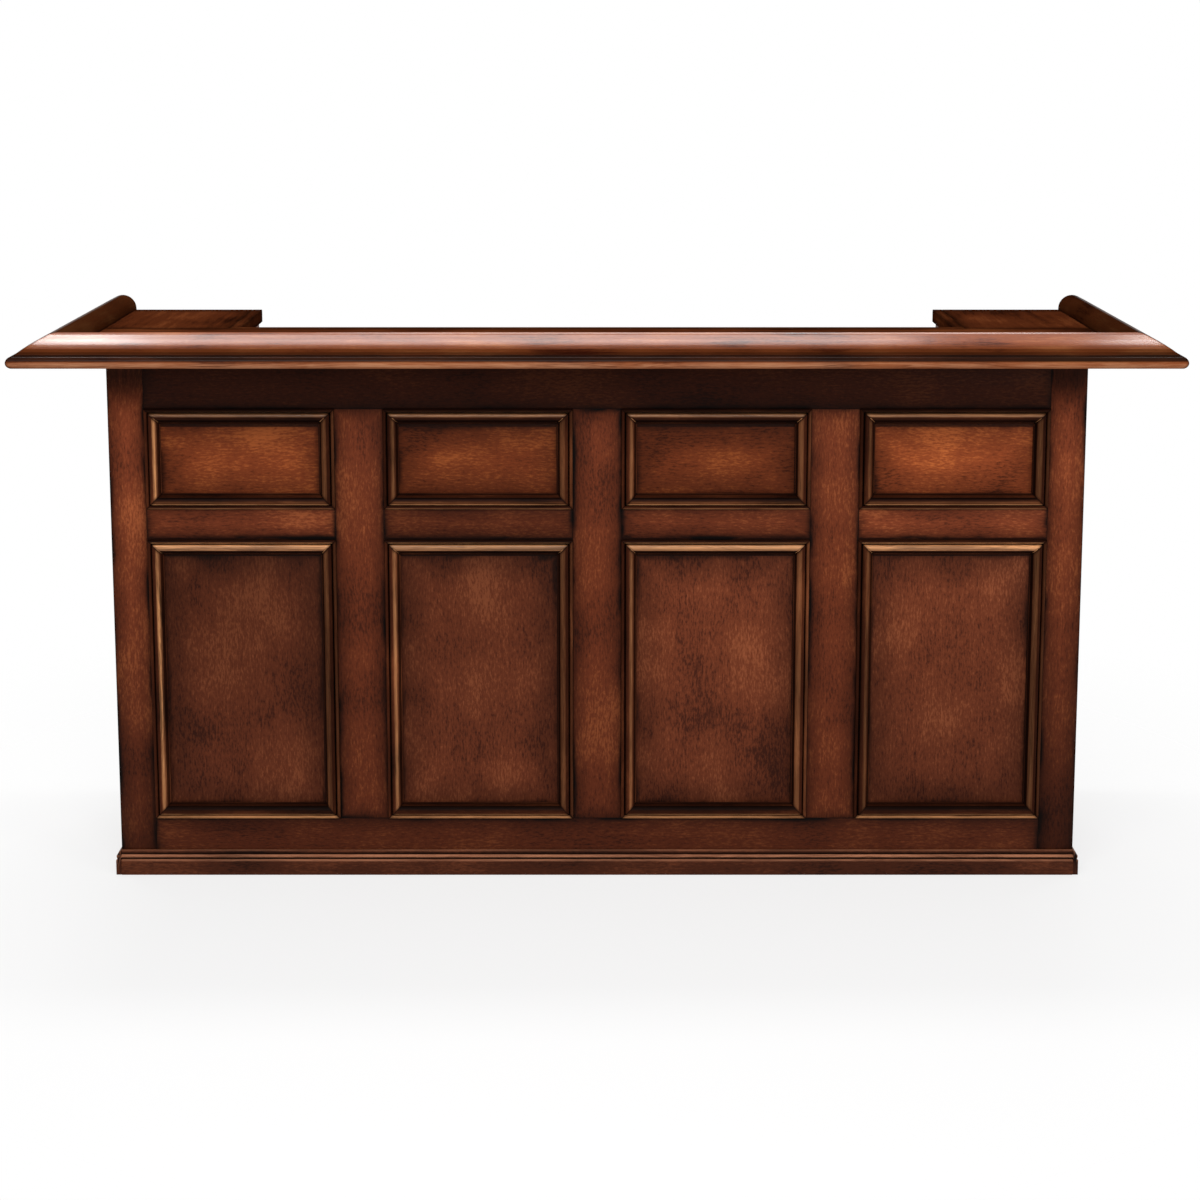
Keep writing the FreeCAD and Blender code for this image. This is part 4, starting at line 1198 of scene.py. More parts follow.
@dataclass
class FrontWall(PanelledWall):
    """The panelled wall that the guests see.

    The two level rails have a seed and a tone. A row of seeds is given by its first one and its step. Tones,
    feet, and the painted highlights of the mouldings go from left to right, and from the lower row to the
    upper one. The tones of the moulding sticks are painted light.
    """

    half_width: float = 0.919
    face: float = -0.176
    stile_width: float = 0.068
    mullion_width: float = 0.092
    columns: int = 4
    # The top rail's low tone is partly painted shadow under the overhang of the top.
    top_rail: Pair = (3.7, 0.29)
    bottom_rail: Pair = (4.9, 0.57)
    stile_seeds: Pair = (1.1, 1.2)
    stile_tones: Pair = (2.05, 2.0)
    stile_feet: Pair = (0.18, 0.11)
    mullion_seeds: Pair = (5.2, 1.9)
    mullion_tones: Row = (1.25, 1.28, 1.34)
    mullion_foot: float = 0.68
    lock_rail_seeds: Pair = (11.4, 2.3)
    lock_rail_tones: Row = (1.30, 0.68, 1.12, 1.65)
    # The leans put more glaze and painted shade towards an edge of the lock rails and the panels.
    lock_rail_lean: Triple = (0.0, 0.0, -0.004)
    panel_seeds: tuple[Pair, Pair] = ((21.3, 3.1), (35.9, 2.7))
    panel_leans: tuple[Triple, Triple] = ((0.001, 0.0, 0.003), (0.001, 0.0, 0.006))
    panel_tones: tuple[Row, Row] = ((0.45, 0.61, 1.05, 1.02), (1.24, 0.96, 0.95, 1.65))
    panel_feet: tuple[Row, Row] = ((1.65, 1.36, 0.75, 0.65), (1.0, 1.0, 1.0, 1.0))
    moulding_seeds: tuple[Pair, Pair] = ((50.0, 4.0), (51.7, 4.0))
    # Painted light on the moulding sticks by the side they face: the share of painted highlight on the top and
    # left sticks, and each side's brightness.
    top_wear: Pair = (1.1, 0.6)
    top_tones: tuple[Row, Row] = ((1.4, 0.95, 1.15, 1.55), (0.9, 1.0, 1.0, 1.1))
    left_wear: tuple[Row, Row] = ((0.62, 0.36, 0.23, 0.16), (0.66, 0.22, 0.26, 0.18))
    left_tones: tuple[Row, Row] = ((1.7, 1.8, 1.5, 1.0), (1.6, 1.1, 1.6, 1.0))
    right_tones: Row = (0.9, 1.0, 1.5, 0.9)

    @property
    def outward(self) -> Vector:
        """Return the way to the guests."""
        return Vector((0, -1, 0))

    def put(self, along: float, depth: float, rise: float) -> Vector:
        """Return a place by its X, its depth behind the face and its height."""
        return Vector((along, self.face + depth, rise))

    def openings(self) -> list[Pair]:
        """Divide the wall into columns.

        Returns:
            The left and right edge of each column's opening.
        """
        first = -self.half_width + self.stile_width
        width = (-2 * first - (self.columns - 1) * self.mullion_width) / self.columns
        lefts = [first + number * (width + self.mullion_width) for number in range(self.columns)]
        return [(left, left + width) for left in lefts]

    def build(self) -> None:
        """Build the frame, and the panels and mouldings of each column."""
        self.build_frame()
        for number, column in enumerate(self.openings()):
            self.build_panels(number, column)
        for number, column in enumerate(self.openings()):
            self.build_mouldings(number, column)

    def build_frame(self) -> None:
        """Build the stiles, rails, lock rails and mullions."""
        inner = self.half_width - self.stile_width
        low, high = self.rows[0][0], self.rows[1][1]
        middle = (self.rows[0][1], self.rows[1][0])
        openings = self.openings()
        members = {}
        for number, side in enumerate(Side):
            span = (side.value * inner, side.value * self.half_width)
            members[f"front_{side.word}_stile"] = [self.member(
                span, (0, self.height), Grain.ALONG_Z, seed_of(self.stile_seeds, number),
                self.stile_tones[number], dusk=self.stile_dusk, foot=self.stile_feet[number])]
        rails = {"top": (high, self.height, self.top_rail), "bottom": (0, low, self.bottom_rail)}
        for word, (start, end, look) in rails.items():
            members[f"front_{word}_rail"] = [self.member((-inner, inner), (start, end), Grain.ALONG_X, *look)]
        members["lock_rails"] = [
            self.member(column, middle, Grain.ALONG_X, seed_of(self.lock_rail_seeds, number),
                        self.lock_rail_tones[number], lean=self.lock_rail_lean)
            for number, column in enumerate(openings)]
        for number, (before, after) in enumerate(zip(openings, openings[1:])):
            members[f"front_mullion_{number + 1}"] = [self.member(
                (before[1], after[0]), (low, high), Grain.ALONG_Z, seed_of(self.mullion_seeds, number),
                self.mullion_tones[number], foot=self.mullion_foot)]
        for node, boards in members.items():
            Shell().boards(*boards).stand_for(node, FRAME_STAIN, "frame_wood")

    def build_panels(self, number: int, column: Pair) -> None:
        """Build a lower panel with upright grain and an upper one with level grain.

        Args:
            number: The column's number.
            column: The edges of its opening.
        """
        levels = (("lower", Grain.ALONG_Z, LOWER_STAIN), ("upper", Grain.ALONG_X, UPPER_STAIN))
        for level, (word, grain, stain) in enumerate(levels):
            board = self.panel(column, level, grain, seed_of(self.panel_seeds[level], number),
                               self.panel_tones[level][number], lean=self.panel_leans[level],
                               foot=self.panel_feet[level][number])
            Shell().boards(board).stand_for(f"{word}_panel_{number + 1}", stain, "panel_wood")

    def build_mouldings(self, number: int, column: Pair) -> None:
        """Build the mitred mouldings round a column's panels.

        Args:
            number: The column's number.
            column: The edges of its opening.
        """
        shell = Shell()
        for level in (0, 1):
            bottom, top = PanelRubbing.level_sides(level)
            # Lit and shaded copies of one moulding: each side's stick has its own painted highlight and
            # brightness.
            left_wear, left_tone = self.left_wear[level][number], self.left_tones[level][number]
            left = StickLook(PanelRubbing.LEFT.value, left_wear, left_tone)
            right = StickLook(PanelRubbing.RIGHT.value, tone=self.right_tones[number])
            upper = StickLook(top, self.top_wear[level], self.top_tones[level][number])
            seed = seed_of(self.moulding_seeds[level], number)
            looks = (StickLook(bottom), right, upper, left)
            shell.sticks(moulding_section(), *self.moulding(column, level, seed, looks))
        shell.stand_for(f"panel_moulding_{number + 1}", MOULDING_STAIN, "moulding_wood")


@dataclass
class EndWall(PanelledWall):
    """The panelled wall at an end of the bar, behind the front wall.

    Its first seed is given for the left and the right end. The other seeds count from there.
    """

    side: Side = Side.LEFT
    front: float = -0.154
    back: float = 0.296
    face: float = 0.919
    opening: Pair = (-0.108, 0.228)
    first_seeds: Pair = (70.0, 90.0)
    stile_seeds: Pair = (0.0, 1.0)
    stile_tone: float = 1.1
    rail_seeds: Pair = (3.0, 1.3)
    # The top rail's low tone, the last, is partly painted shadow under the overhang of the top.
    rail_tones: Triple = (0.7, 1.15, 0.4)
    panel_seeds: Pair = (9.0, 2.1)
    panel_tone: float = 1.0
    moulding_seeds: Pair = (14.0, 1.9)
    # Painted light on the end mouldings: the share of painted highlight on the top and side sticks, and the
    # side sticks' brightness.
    top_wear: float = 0.8
    side_wear: float = 0.3
    side_tone: float = 1.3

    @property
    def outward(self) -> Vector:
        """Return the way out of the bar."""
        return Vector((self.side.value, 0, 0))

    def put(self, along: float, depth: float, rise: float) -> Vector:
        """Return a place by its Y, its depth behind the face and its height."""
        return Vector((self.side.value * (self.face - depth), along, rise))

    def build(self) -> None:
        """Build the frame, the two panels and their mouldings."""
        first = self.first_seeds[list(Side).index(self.side)]
        (foot, lock), (head, crown) = self.rows
        stile_spans = ((self.front, self.opening[0]), (self.opening[1], self.back))
        stiles = [self.member(span, (0, self.height), Grain.ALONG_Z,
                              first + seed_of(self.stile_seeds, number), self.stile_tone,
                              dusk=self.stile_dusk)
                  for number, span in enumerate(stile_spans)]
        rails = [self.member(self.opening, rise, Grain.ALONG_Y, first + seed_of(self.rail_seeds, number),
                             self.rail_tones[number])
                 for number, rise in enumerate(((0, foot), (lock, head), (crown, self.height)))]
        panels = [self.panel(self.opening, level, grain, first + seed_of(self.panel_seeds, level),
                             self.panel_tone)
                  for level, grain in enumerate((Grain.ALONG_Z, Grain.ALONG_Y))]
        side_look = StickLook(PanelRubbing.LEFT.value, self.side_wear, self.side_tone)
        mouldings = Shell()
        for level in (0, 1):
            bottom, top = PanelRubbing.level_sides(level)
            looks = (StickLook(bottom), side_look, StickLook(top, self.top_wear), side_look)
            sticks = self.moulding(self.opening, level, first + seed_of(self.moulding_seeds, level), looks)
            mouldings.sticks(moulding_section(), *sticks)
        end = f"{self.side.word}_end"
        Shell().boards(*stiles, *rails).stand_for(f"{end}_frame", FRAME_STAIN, "frame_wood")
        Shell().boards(*panels).stand_for(f"{end}_panels", LOWER_STAIN, "panel_wood")
        mouldings.stand_for(f"{end}_mouldings", MOULDING_STAIN, "moulding_wood")


@dataclass
class BarTop:
    """The U-shaped top: three boards, their edge bands and the arm rail round the guests' side.

    A board or band is given its seed and tone. What both ends have is given for the left, then the right.
    """

    half_width: float = 1.067
    front: float = -0.324
    back: float = 0.324
    under: float = 1.010
    thickness: float = 0.026
    ease: float = 0.0012
    rail_body: float = 0.052
    rail_width: float = 0.102
    front_back: float = 0.031
    wing_inner: float = 0.722
    band: float = 0.020
    lip: float = 0.022
    lip_nose: float = 0.008
    toe: Pair = (0.013, 0.024)
    crown: Pair = (0.074, 0.029)
    crown_radius: float = 0.028
    slope_radius: float = 0.240
    front_board: Pair = (110.1, 0.55)
    wing_boards: tuple[Pair, Pair] = ((112.7, 0.55), (115.9, 0.58))
    front_band: Pair = (118.2, 0.5)
    rear_bands: tuple[Pair, Pair] = ((120.0, 0.5), (122.0, 0.5))
    inner_bands: tuple[Pair, Pair] = ((124.0, 0.5), (126.0, 0.5))
    front_rail_seed: float = 131.7
    side_rail_seeds: Pair = (134.3, 137.9)
    polish: Pair = (0.046, 0.068)
    polish_fade: float = 0.021
    side_gloss: float = 0.3
    # The side rails get painted shade: a share of it inwards of a distance, and a low brightness.
    side_glaze: Pair = (0.056, 0.72)
    side_wear: float = 0.7
    side_tone: float = 0.38
    # By height: wear with a painted reflection under the lip, painted dark reflection with glaze on its top
    # and step, and painted shade fading up the foot of the slope.
    lip_zones: tuple[Zone, ...] = (
        Zone(0.0125, worn=1.0), Zone(0.0140, glaze=0.5), Zone(0.0245, glaze=0.95, gloss=0.12),
        Zone(0.0290, glaze=0.85), Zone(0.0335, glaze=0.68), Zone(0.0380, glaze=0.42),
        Zone(0.0420, glaze=0.15))

    def board(self, span: Pair, depth: Pair, grain: Grain, look: Pair) -> Board:
        """Lay a board of the top.

        Args:
            span: Where it starts and ends along X.
            depth: Where it starts and ends along Y.
            grain: The way its grain runs.
            look: Its seed and its tone.

        Returns:
            The board.
        """
        low = Vector((span[0], depth[0], self.under))
        high = Vector((span[1], depth[1], self.under + self.thickness))
        return Board(low, high, grain, *look, ease=self.ease)

    def build(self) -> None:
        """Build the boards, the bands and the rails."""
        edge, inner, band = self.half_width - self.rail_body, self.wing_inner, self.band
        joint, rear = self.front_back, self.back
        depth = (self.front + self.rail_body, joint)
        boards = {"front_bar_top": [self.board((-edge, edge), depth, Grain.ALONG_X, self.front_board)]}
        bands = [self.board((-inner, inner), (joint, joint + band), Grain.ALONG_X, self.front_band)]
        for number, side in enumerate(Side):
            outer_edge, inner_edge = side.value * edge, side.value * inner
            wing, band_edge = (inner_edge, outer_edge), side.value * (inner - band)
            boards[f"{side.word}_bar_top"] = [
                self.board(wing, (joint, rear - band), Grain.ALONG_Y, self.wing_boards[number])]
            bands += [self.board(wing, (rear - band, rear), Grain.ALONG_X, self.rear_bands[number]),
                      self.board((band_edge, inner_edge), (joint + band, rear), Grain.ALONG_Y,
                                 self.inner_bands[number])]
        boards["edge_bands"] = bands
        for node, group in boards.items():
            Shell().boards(*group).stand_for(node, TOP_STAIN, "top_wood")
        self.build_rails()

    def rail_section(self) -> list[SectionPoint]:
        """Draw the arm rail: a lip, a step, a long slope that swells a little, and a round back.

        Returns:
            The points of its section.
        """
        nose_radius = (self.lip_nose ** 2 + (self.lip / 2) ** 2) / (2 * self.lip_nose)
        nose_turn = math.degrees(math.asin(self.lip / 2 / nose_radius))
        section = Section((self.rail_body, 0.0), (self.lip_nose, 0.0))
        section.arc((nose_radius, self.lip / 2), nose_radius, 180 + nose_turn, 180 - nose_turn)
        section.line((self.toe[0], self.lip), self.toe)
        toe, crown = Vector(self.toe), Vector(self.crown)
        brow = 90 + math.degrees(math.atan2(crown.y - toe.y, crown.x - toe.x)
                                 + math.asin(self.crown_radius / (crown - toe).length))
        turn = math.radians(brow)
        touch = crown + self.crown_radius * Vector((math.cos(turn), math.sin(turn)))
        chord = touch - toe
        depth = math.sqrt(self.slope_radius ** 2 - chord.length_squared / 4)
        centre = (toe + touch) / 2 + Vector((chord.y, -chord.x)).normalized() * depth
        angles = [math.degrees(math.atan2(end.y - centre.y, end.x - centre.x)) for end in (toe, touch)]
        section.arc((centre.x, centre.y), self.slope_radius, *angles)
        section.arc(self.crown, self.crown_radius, brow, 0)
        section.line((self.rail_width, self.thickness), (self.rail_body, self.thickness))
        return section.points(spacing=0.0018, reach=0.0040)

    def build_rails(self) -> None:
        """Build the front length and the two side lengths, mitred at the front corners."""
        polished = Rubbing(self.lip_zones, by_height=True, polish=self.polish, gloss=1.0,
                           polish_fade=self.polish_fade)
        duller = replace(polished, gloss=self.side_gloss, inner_glaze=self.side_glaze)
        side_look = StickLook(duller, self.side_wear, self.side_tone)
        left, right = [Vector((side.value * self.half_width, self.front, self.under)) for side in Side]
        sticks = {"front_arm_rail": Stick(left, right, Vector((0, 1, 0)), UP, self.front_rail_seed,
                                          StickLook(polished))}
        for side, corner, seed in zip(Side, (left, right), self.side_rail_seeds):
            end, inward = Vector((corner.x, self.back, self.under)), Vector((-side.value, 0, 0))
            stick = Stick(end, corner, inward, UP, seed, side_look, (False, True))
            sticks[f"{side.word}_arm_rail"] = stick
        for node, stick in sticks.items():
            Shell().sticks(self.rail_section(), stick).stand_for(node, RAIL_STAIN, "rail_wood")


@dataclass
class BaseMoulding:
    """The plinth, bead and cap along the foot of the front and the ends."""

    half_width: float = 0.919
    face: float = -0.176
    front_end: float = -0.186
    back_end: float = 0.296
    front_seed: float = 141.3
    side_seeds: Pair = (143.1, 145.1)
    # By height: painted highlights with some wear on the plinth's round edge, the bead and the cap, and glaze
    # with painted shade in the groove and under the cap.
    zones: tuple[Zone, ...] = (
        Zone(0.0265), Zone(0.0312, crown=0.5), Zone(0.0338, glaze=0.95), Zone(0.0405, crown=0.3, worn=0.46),
        Zone(0.0425, glaze=0.8), Zone(0.0490, crown=0.3))

    def section(self) -> list[SectionPoint]:
        """Draw the moulding, outwards from the wall and up from the floor.

        Returns:
            The points of its section.
        """
        section = Section((0.0, 0.0), (0.010, 0.0)).arc((0.007, 0.028), 0.003, 0, 90)
        section.line((0.005, 0.031), (0.005, 0.0335)).arc((0.005, 0.03725), 0.00375, -90, 90)
        section.line((0.0035, 0.041)).arc((0.0025, 0.047), 0.001, 0, 90).line((0.0, 0.048))
        return section.points(spacing=0.0016, reach=0.0026)

    def build(self) -> None:
        """Build the front length and the two side lengths, cut square."""
        square = (False, False)
        look = StickLook(Rubbing(self.zones, by_height=True))
        start, end = [Vector((side.value * self.half_width, self.face, 0)) for side in Side]
        sticks = {"front": Stick(start, end, Vector((0, -1, 0)), UP, self.front_seed, look, square)}
        for side, seed in zip(Side, self.side_seeds):
            x = side.value * self.half_width
            start, end = Vector((x, self.front_end, 0)), Vector((x, self.back_end, 0))
            sticks[side.word] = Stick(start, end, Vector((side.value, 0, 0)), UP, seed, look, square)
        for word, stick in sticks.items():
            shell = Shell().sticks(self.section(), stick)
            shell.stand_for(f"{word}_base_moulding", PLINTH_STAIN, "moulding_wood")


@dataclass
class Knob:
    """A turned knob on a rose with eased edges.

    The flare and the swell of its neck are given by a width, a start and a length.
    """

    foot: Vector
    rose_radius: float = 0.009
    rose_rise: float = 0.0020
    rose_eases: Pair = (0.0004, 0.0006)
    rose_foot_ease: float = 0.0003
    neck_radius: float = 0.0055
    flare: Triple = (0.0016, 0.0022, 0.0048)
    swell: Triple = (0.004, 0.0082, 0.0042)
    head_radius: float = 0.014
    rim_rise: float = 0.0160
    rim_round: Pair = (0.0045, 0.0034)
    dome_step: int = 9
    length: float = 0.024
    seed: float = 151.0

    def outline(self) -> list[Pair]:
        """Draw the knob: a rose, a flared neck that swells, a rounded rim and a dome.

        Returns:
            The radius and the rise from its foot to its tip.
        """
        rose, neck, head = self.rose_radius, self.neck_radius, self.head_radius
        rim, tip = self.rim_rise, self.length
        low_ease, high_ease = self.rose_eases
        plate = [(rose - self.rose_foot_ease, 0.0), (rose, low_ease), (rose, self.rose_rise - high_ease),
                 (rose - high_ease, self.rose_rise)]
        width, start, length = self.flare
        flare = [(neck + width * (1 - step / 4) ** 2, start + length * step / 4) for step in range(5)]
        width, start, length = self.swell
        swell = [(neck + width * (step / 5) ** 2, start + length * step / 5) for step in range(6)]
        across, up = self.rim_round
        under = [(head - across * math.cos(turn), rim - up * math.cos(turn))
                 for turn in map(math.radians, (0, 25, 50, 75, 90))]
        dome = [(head * math.cos(turn), rim + (tip - rim) * math.sin(turn))
                for turn in map(math.radians, range(self.dome_step, 90, self.dome_step))]
        return [(0.0, 0.0), *plate, *flare, *swell, *under, *dome, (0.0, tip)]

    def build(self, name: str, body: Body) -> None:
        """Build the knob in the place of its solid."""
        piece = Shell().lathe(self.outline(), self.foot, self.seed).piece(f"{name}_brass", BRASS.material())
        place_piece(piece, body, "antique_brass", name)


@dataclass
class ServingBay:
    """The drawer and the cupboard door at one end of the serving side.

    The boards' seeds are those of the left end. At the right end they are higher by a step.
    """

    side: Side
    near: float = 0.499
    far: float = 0.895
    rear_face: float = 0.296
    thickness: float = 0.020
    drawer_rise: Pair = (0.730, 0.866)
    drawer_end: float = -0.140
    drawer_walls: Pair = (0.7283, 0.8403)
    drawer_floor: Pair = (0.7383, 0.7443)
    wall: float = 0.012
    door_rise: Pair = (0.082, 0.708)
    door_member: float = 0.060
    door_recess: float = 0.006
    knob_drop: float = 0.090
    bead: float = 0.0024
    ovolo: float = 0.007
    ovolo_radius: float = 0.0046
    inside_tone: float = 1.2
    panel_tone: float = 1.08
    # The trim's crowns are lightened with wear and painted highlights.
    trim_zone: Zone = Zone(0.01, crown=0.45)
    right_seed_step: float = 23.0
    front_seed: float = 160.3
    wall_seeds: Pair = (163.1, 165.7)
    back_seed: float = 168.9
    floor_seed: float = 171.3
    bead_seed: float = 174.7
    stile_seeds: Pair = (180.3, 182.9)
    rail_seeds: Pair = (185.3, 187.7)
    panel_seed: float = 190.1
    ovolo_seed: float = 193.9

    @property
    def front(self) -> float:
        """Return the Y of the hidden face of the drawer's front and of the door."""
        return self.rear_face - self.thickness

    def board(self, span: Pair, depth: Pair, rise: Pair, grain: Grain, seed: float, tone: float = 1.0,
              rim: float = 0.0) -> Board:
        """Lay a board of the bay.

        Args:
            span: Where it starts and ends, from the bar's middle.
            depth: Where it starts and ends along Y.
            rise: Its lower and upper end.
            grain: The way its grain runs.
            seed: Its seed at the left end.
            tone: Its brightness.
            rim: The rim that trim covers.

        Returns:
            The board.
        """
        low, high = [Vector((self.side.value * span[end], depth[end], rise[end])) for end in (0, 1)]
        seed += self.right_seed_step if self.side is Side.RIGHT else 0.0
        return Board(low, high, grain, seed, tone, rim, back=(0, -1, 0))

    def trim(self, span: Pair, rise: Pair, face: float, section: list[SectionPoint], seed: float) -> Shell:
        """Set a mitred frame of trim on a rear face.

        Args:
            span: The frame's edges from the bar's middle.
            rise: Its lower and upper edge.
            face: The face that it stands on.
            section: Its section.
            seed: Its first seed.

        Returns:
            The trim.
        """
        left, right = sorted(self.side.value * edge for edge in span)
        look = StickLook(Rubbing((self.trim_zone,)))
        low, high = Vector((left, face, rise[0])), Vector((right, face, rise[1]))
        return Shell().sticks(section, *framed_sticks(low, high, Vector((0, 1, 0)), seed, [look] * 4))

    def build(self) -> None:
        """Build the drawer, the door, their trim and their knobs."""
        self.build_drawer()
        self.build_door()

    def build_drawer(self) -> None:
        """Build the drawer's five boards, its bead and its knob."""
        name, body = self.side.drawer.value, self.side.drawer
        near, far, wall, end = self.near, self.far, self.wall, self.drawer_end
        inside, depth = (near + wall, far - wall), (end, self.front)
        front_depth = (self.front, self.rear_face)
        front = self.board((near, far), front_depth, self.drawer_rise, Grain.ALONG_X, self.front_seed)
        shell = Shell().boards(front)
        for seed, span in zip(self.wall_seeds, ((near, near + wall), (far - wall, far))):
            shell.boards(self.board(span, depth, self.drawer_walls, Grain.ALONG_Y, seed, self.inside_tone))
        back_rise = (self.drawer_floor[1], self.drawer_walls[1])
        shell.boards(
            self.board(inside, (end, end + wall), back_rise, Grain.ALONG_X, self.back_seed, self.inside_tone),
            self.board(inside, depth, self.drawer_floor, Grain.ALONG_X, self.floor_seed, self.inside_tone))
        shell.stand_for(f"{name}_box", CABINET_STAIN, "drawer_wood", body)

        section = Section((0.0, 0.0)).arc((self.bead, 0.0), self.bead, 180, 0)
        points = section.points(spacing=0.0008, reach=0.0012)
        trim = self.trim((near, far), self.drawer_rise, self.rear_face, points, self.bead_seed)
        place_piece(trim.piece(f"{name}_bead", MOULDING_STAIN.on_marks()), body, "drawer_wood")
        foot = Vector((self.side.value * (near + far) / 2, self.rear_face, sum(self.drawer_rise) / 2))
        Knob(foot).build(f"{name}_knob", body)

    def build_door(self) -> None:
        """Build the door's frame and panel, the ovolo round the panel, and the knob."""
        name, body = self.side.door.value, self.side.door
        near, far, member = self.near, self.far, self.door_member
        low, high = self.door_rise
        depth, field_face = (self.front, self.rear_face), self.rear_face - self.door_recess
        inside, inner_rise = (near + member, far - member), (low + member, high - member)
        shell = Shell()
        for seed, span in zip(self.stile_seeds, ((near, near + member), (far - member, far))):
            shell.boards(self.board(span, depth, self.door_rise, Grain.ALONG_Z, seed))
        for seed, rise in zip(self.rail_seeds, ((low, low + member), (high - member, high))):
            shell.boards(self.board(inside, depth, rise, Grain.ALONG_X, seed))
        shell.boards(self.board(inside, (self.front, field_face), inner_rise, Grain.ALONG_Z, self.panel_seed,
                                self.panel_tone, self.ovolo))
        shell.stand_for(name, CABINET_STAIN, "cabinet_wood", body)

        section = Section((0.0, 0.0), (0.0, 0.0045)).arc((0.001, 0.0), self.ovolo_radius, 90, 0)
        section.line((self.ovolo, 0.0008), (self.ovolo, 0.0))
        points = section.points(spacing=0.0009, reach=0.0016, contact=0.0009)
        trim = self.trim(inside, inner_rise, field_face, points, self.ovolo_seed)
        place_piece(trim.piece(f"{name}_ovolo", MOULDING_STAIN.on_marks()), body, "cabinet_wood")
        foot = Vector((self.side.value * (near + member / 2), self.rear_face, high - self.knob_drop))
        Knob(foot).build(f"{name}_knob", body)


@dataclass
class HingeScrews:
    """The slotted screws in the hinge leaves of one body, set out by geometry nodes."""

    body: Body
    columns: Row
    hinges: Pair = (0.145, 0.591)
    rises: Triple = (0.009, 0.027, 0.045)
    face: float = 0.2975
    head_radius: float = 0.0028
    head_rise: float = 0.0007
    head_rim: float = 0.0002
    shoulder: Pair = (0.75, 0.8)
    slot_width: float = 0.0007
    slot_depth: float = 0.0005
    round_steps: int = 24
    seed: int = 7

    DOOR_COLUMN = 0.8835
    FRAME_COLUMN = 0.9085

    def head(self) -> bpy.types.Object:
        """Make one domed head with a slot, standing on the X and Z axes.

        Returns:
            The head.
        """
        shape = bmesh.new()
        turns = [2 * math.pi * step / self.round_steps for step in range(self.round_steps)]
        shoulder = (self.head_radius * self.shoulder[0], self.head_rise * self.shoulder[1])
        outline = ((self.head_radius, 0.0), (self.head_radius, self.head_rim), shoulder,
                   (self.slot_width, self.head_rise))
        rings = [[shape.verts.new((radius * math.cos(turn), rise, radius * math.sin(turn))) for turn in turns]
                 for radius, rise in outline]
        for first, second in zip(rings, rings[1:]):
            for step in range(self.round_steps):
                following = (step + 1) % self.round_steps
                shape.faces.new((first[step], first[following], second[following], second[step]))
        shape.faces.new(rings[-1])
        shape.faces.new(rings[0][::-1])
        for corner in rings[2] + rings[3]:
            if abs(corner.co.z) < self.slot_width:
                corner.co.y -= self.slot_depth
        bmesh.ops.recalc_face_normals(shape, faces=shape.faces)
        mesh = bpy.data.meshes.new("screw_head")
        shape.to_mesh(mesh)
        shape.free()
        return linked("screw_head", mesh)

    def tree(self, head: bpy.types.Object, material: Material) -> bpy.types.NodeTree:
        """Return the node tree that sets a head, turned at random, on each point.

        Args:
            head: The head to repeat.
            material: Its metal.

        Returns:
            The tree, with named inputs for the size, the turn and the seed.
        """
        tree = bpy.data.node_groups.new("set_out_screws", "GeometryNodeTree")
        sockets = (("Places", "INPUT", "Geometry"), ("Size", "INPUT", "Float"),
                   ("Greatest turn", "INPUT", "Float"), ("Seed", "INPUT", "Int"),
                   ("Screws", "OUTPUT", "Geometry"))
        for label, way, kind in sockets:
            tree.interface.new_socket(label, in_out=way, socket_type=f"NodeSocket{kind}")
        kinds = ("NodeGroupInput", "GeometryNodeObjectInfo", "GeometryNodeInstanceOnPoints",
                 "FunctionNodeRandomValue", "ShaderNodeCombineXYZ", "GeometryNodeRealizeInstances",
                 "GeometryNodeSetMaterial", "NodeGroupOutput")
        given, screw, repeat, turn, turned, real, finish, result = [tree.nodes.new(kind) for kind in kinds]
        screw.inputs["Object"].default_value = head
        finish.inputs["Material"].default_value = material
        turn.data_type = "FLOAT"
        greatest = [socket for socket in turn.inputs if socket.enabled and socket.type == "VALUE"][1]
        seed = next(socket for socket in turn.inputs if socket.enabled and socket.name == "Seed")
        links = (
            (given.outputs["Places"], repeat.inputs["Points"]),
            (screw.outputs["Geometry"], repeat.inputs["Instance"]),
            (given.outputs["Size"], repeat.inputs["Scale"]),
            (given.outputs["Greatest turn"], greatest),
            (given.outputs["Seed"], seed),
            (turn.outputs[1], turned.inputs["Y"]),
            (turned.outputs[0], repeat.inputs["Rotation"]),
            (repeat.outputs[0], real.inputs[0]),
            (real.outputs[0], finish.inputs["Geometry"]),
            (finish.outputs[0], result.inputs[0]),
        )
        for source, target in links:
            tree.links.new(source, target)
        return tree

    def build(self) -> None:
        """Build the body's screws as one plain mesh."""
        head = self.head()
        tree = self.tree(head, BRASS.material())
        heights = [base + rise for base in self.hinges for rise in self.rises]
        places = [(x, self.face, height) for x in self.columns for height in heights]
        mesh = bpy.data.meshes.new("screw_places")
        mesh.from_pydata(places, [], [])
        holder = linked("screw_places", mesh)
        modifier = holder.modifiers.new("screws", "NODES")
        modifier.node_group = tree
        values = {"Size": 1.0, "Greatest turn": math.pi, "Seed": self.seed}
        for item in tree.interface.items_tree:
            if item.in_out == "INPUT" and item.name in values:
                modifier[item.identifier] = values[item.name]
        evaluated = holder.evaluated_get(bpy.context.evaluated_depsgraph_get())
        made = bpy.data.meshes.new_from_object(evaluated)
        made.name = f"{self.body.value}_hinge_screws"
        piece = linked(made.name, made)
        bpy.data.objects.remove(holder)
        bpy.data.objects.remove(head)
        place_piece(piece, self.body, "antique_brass")


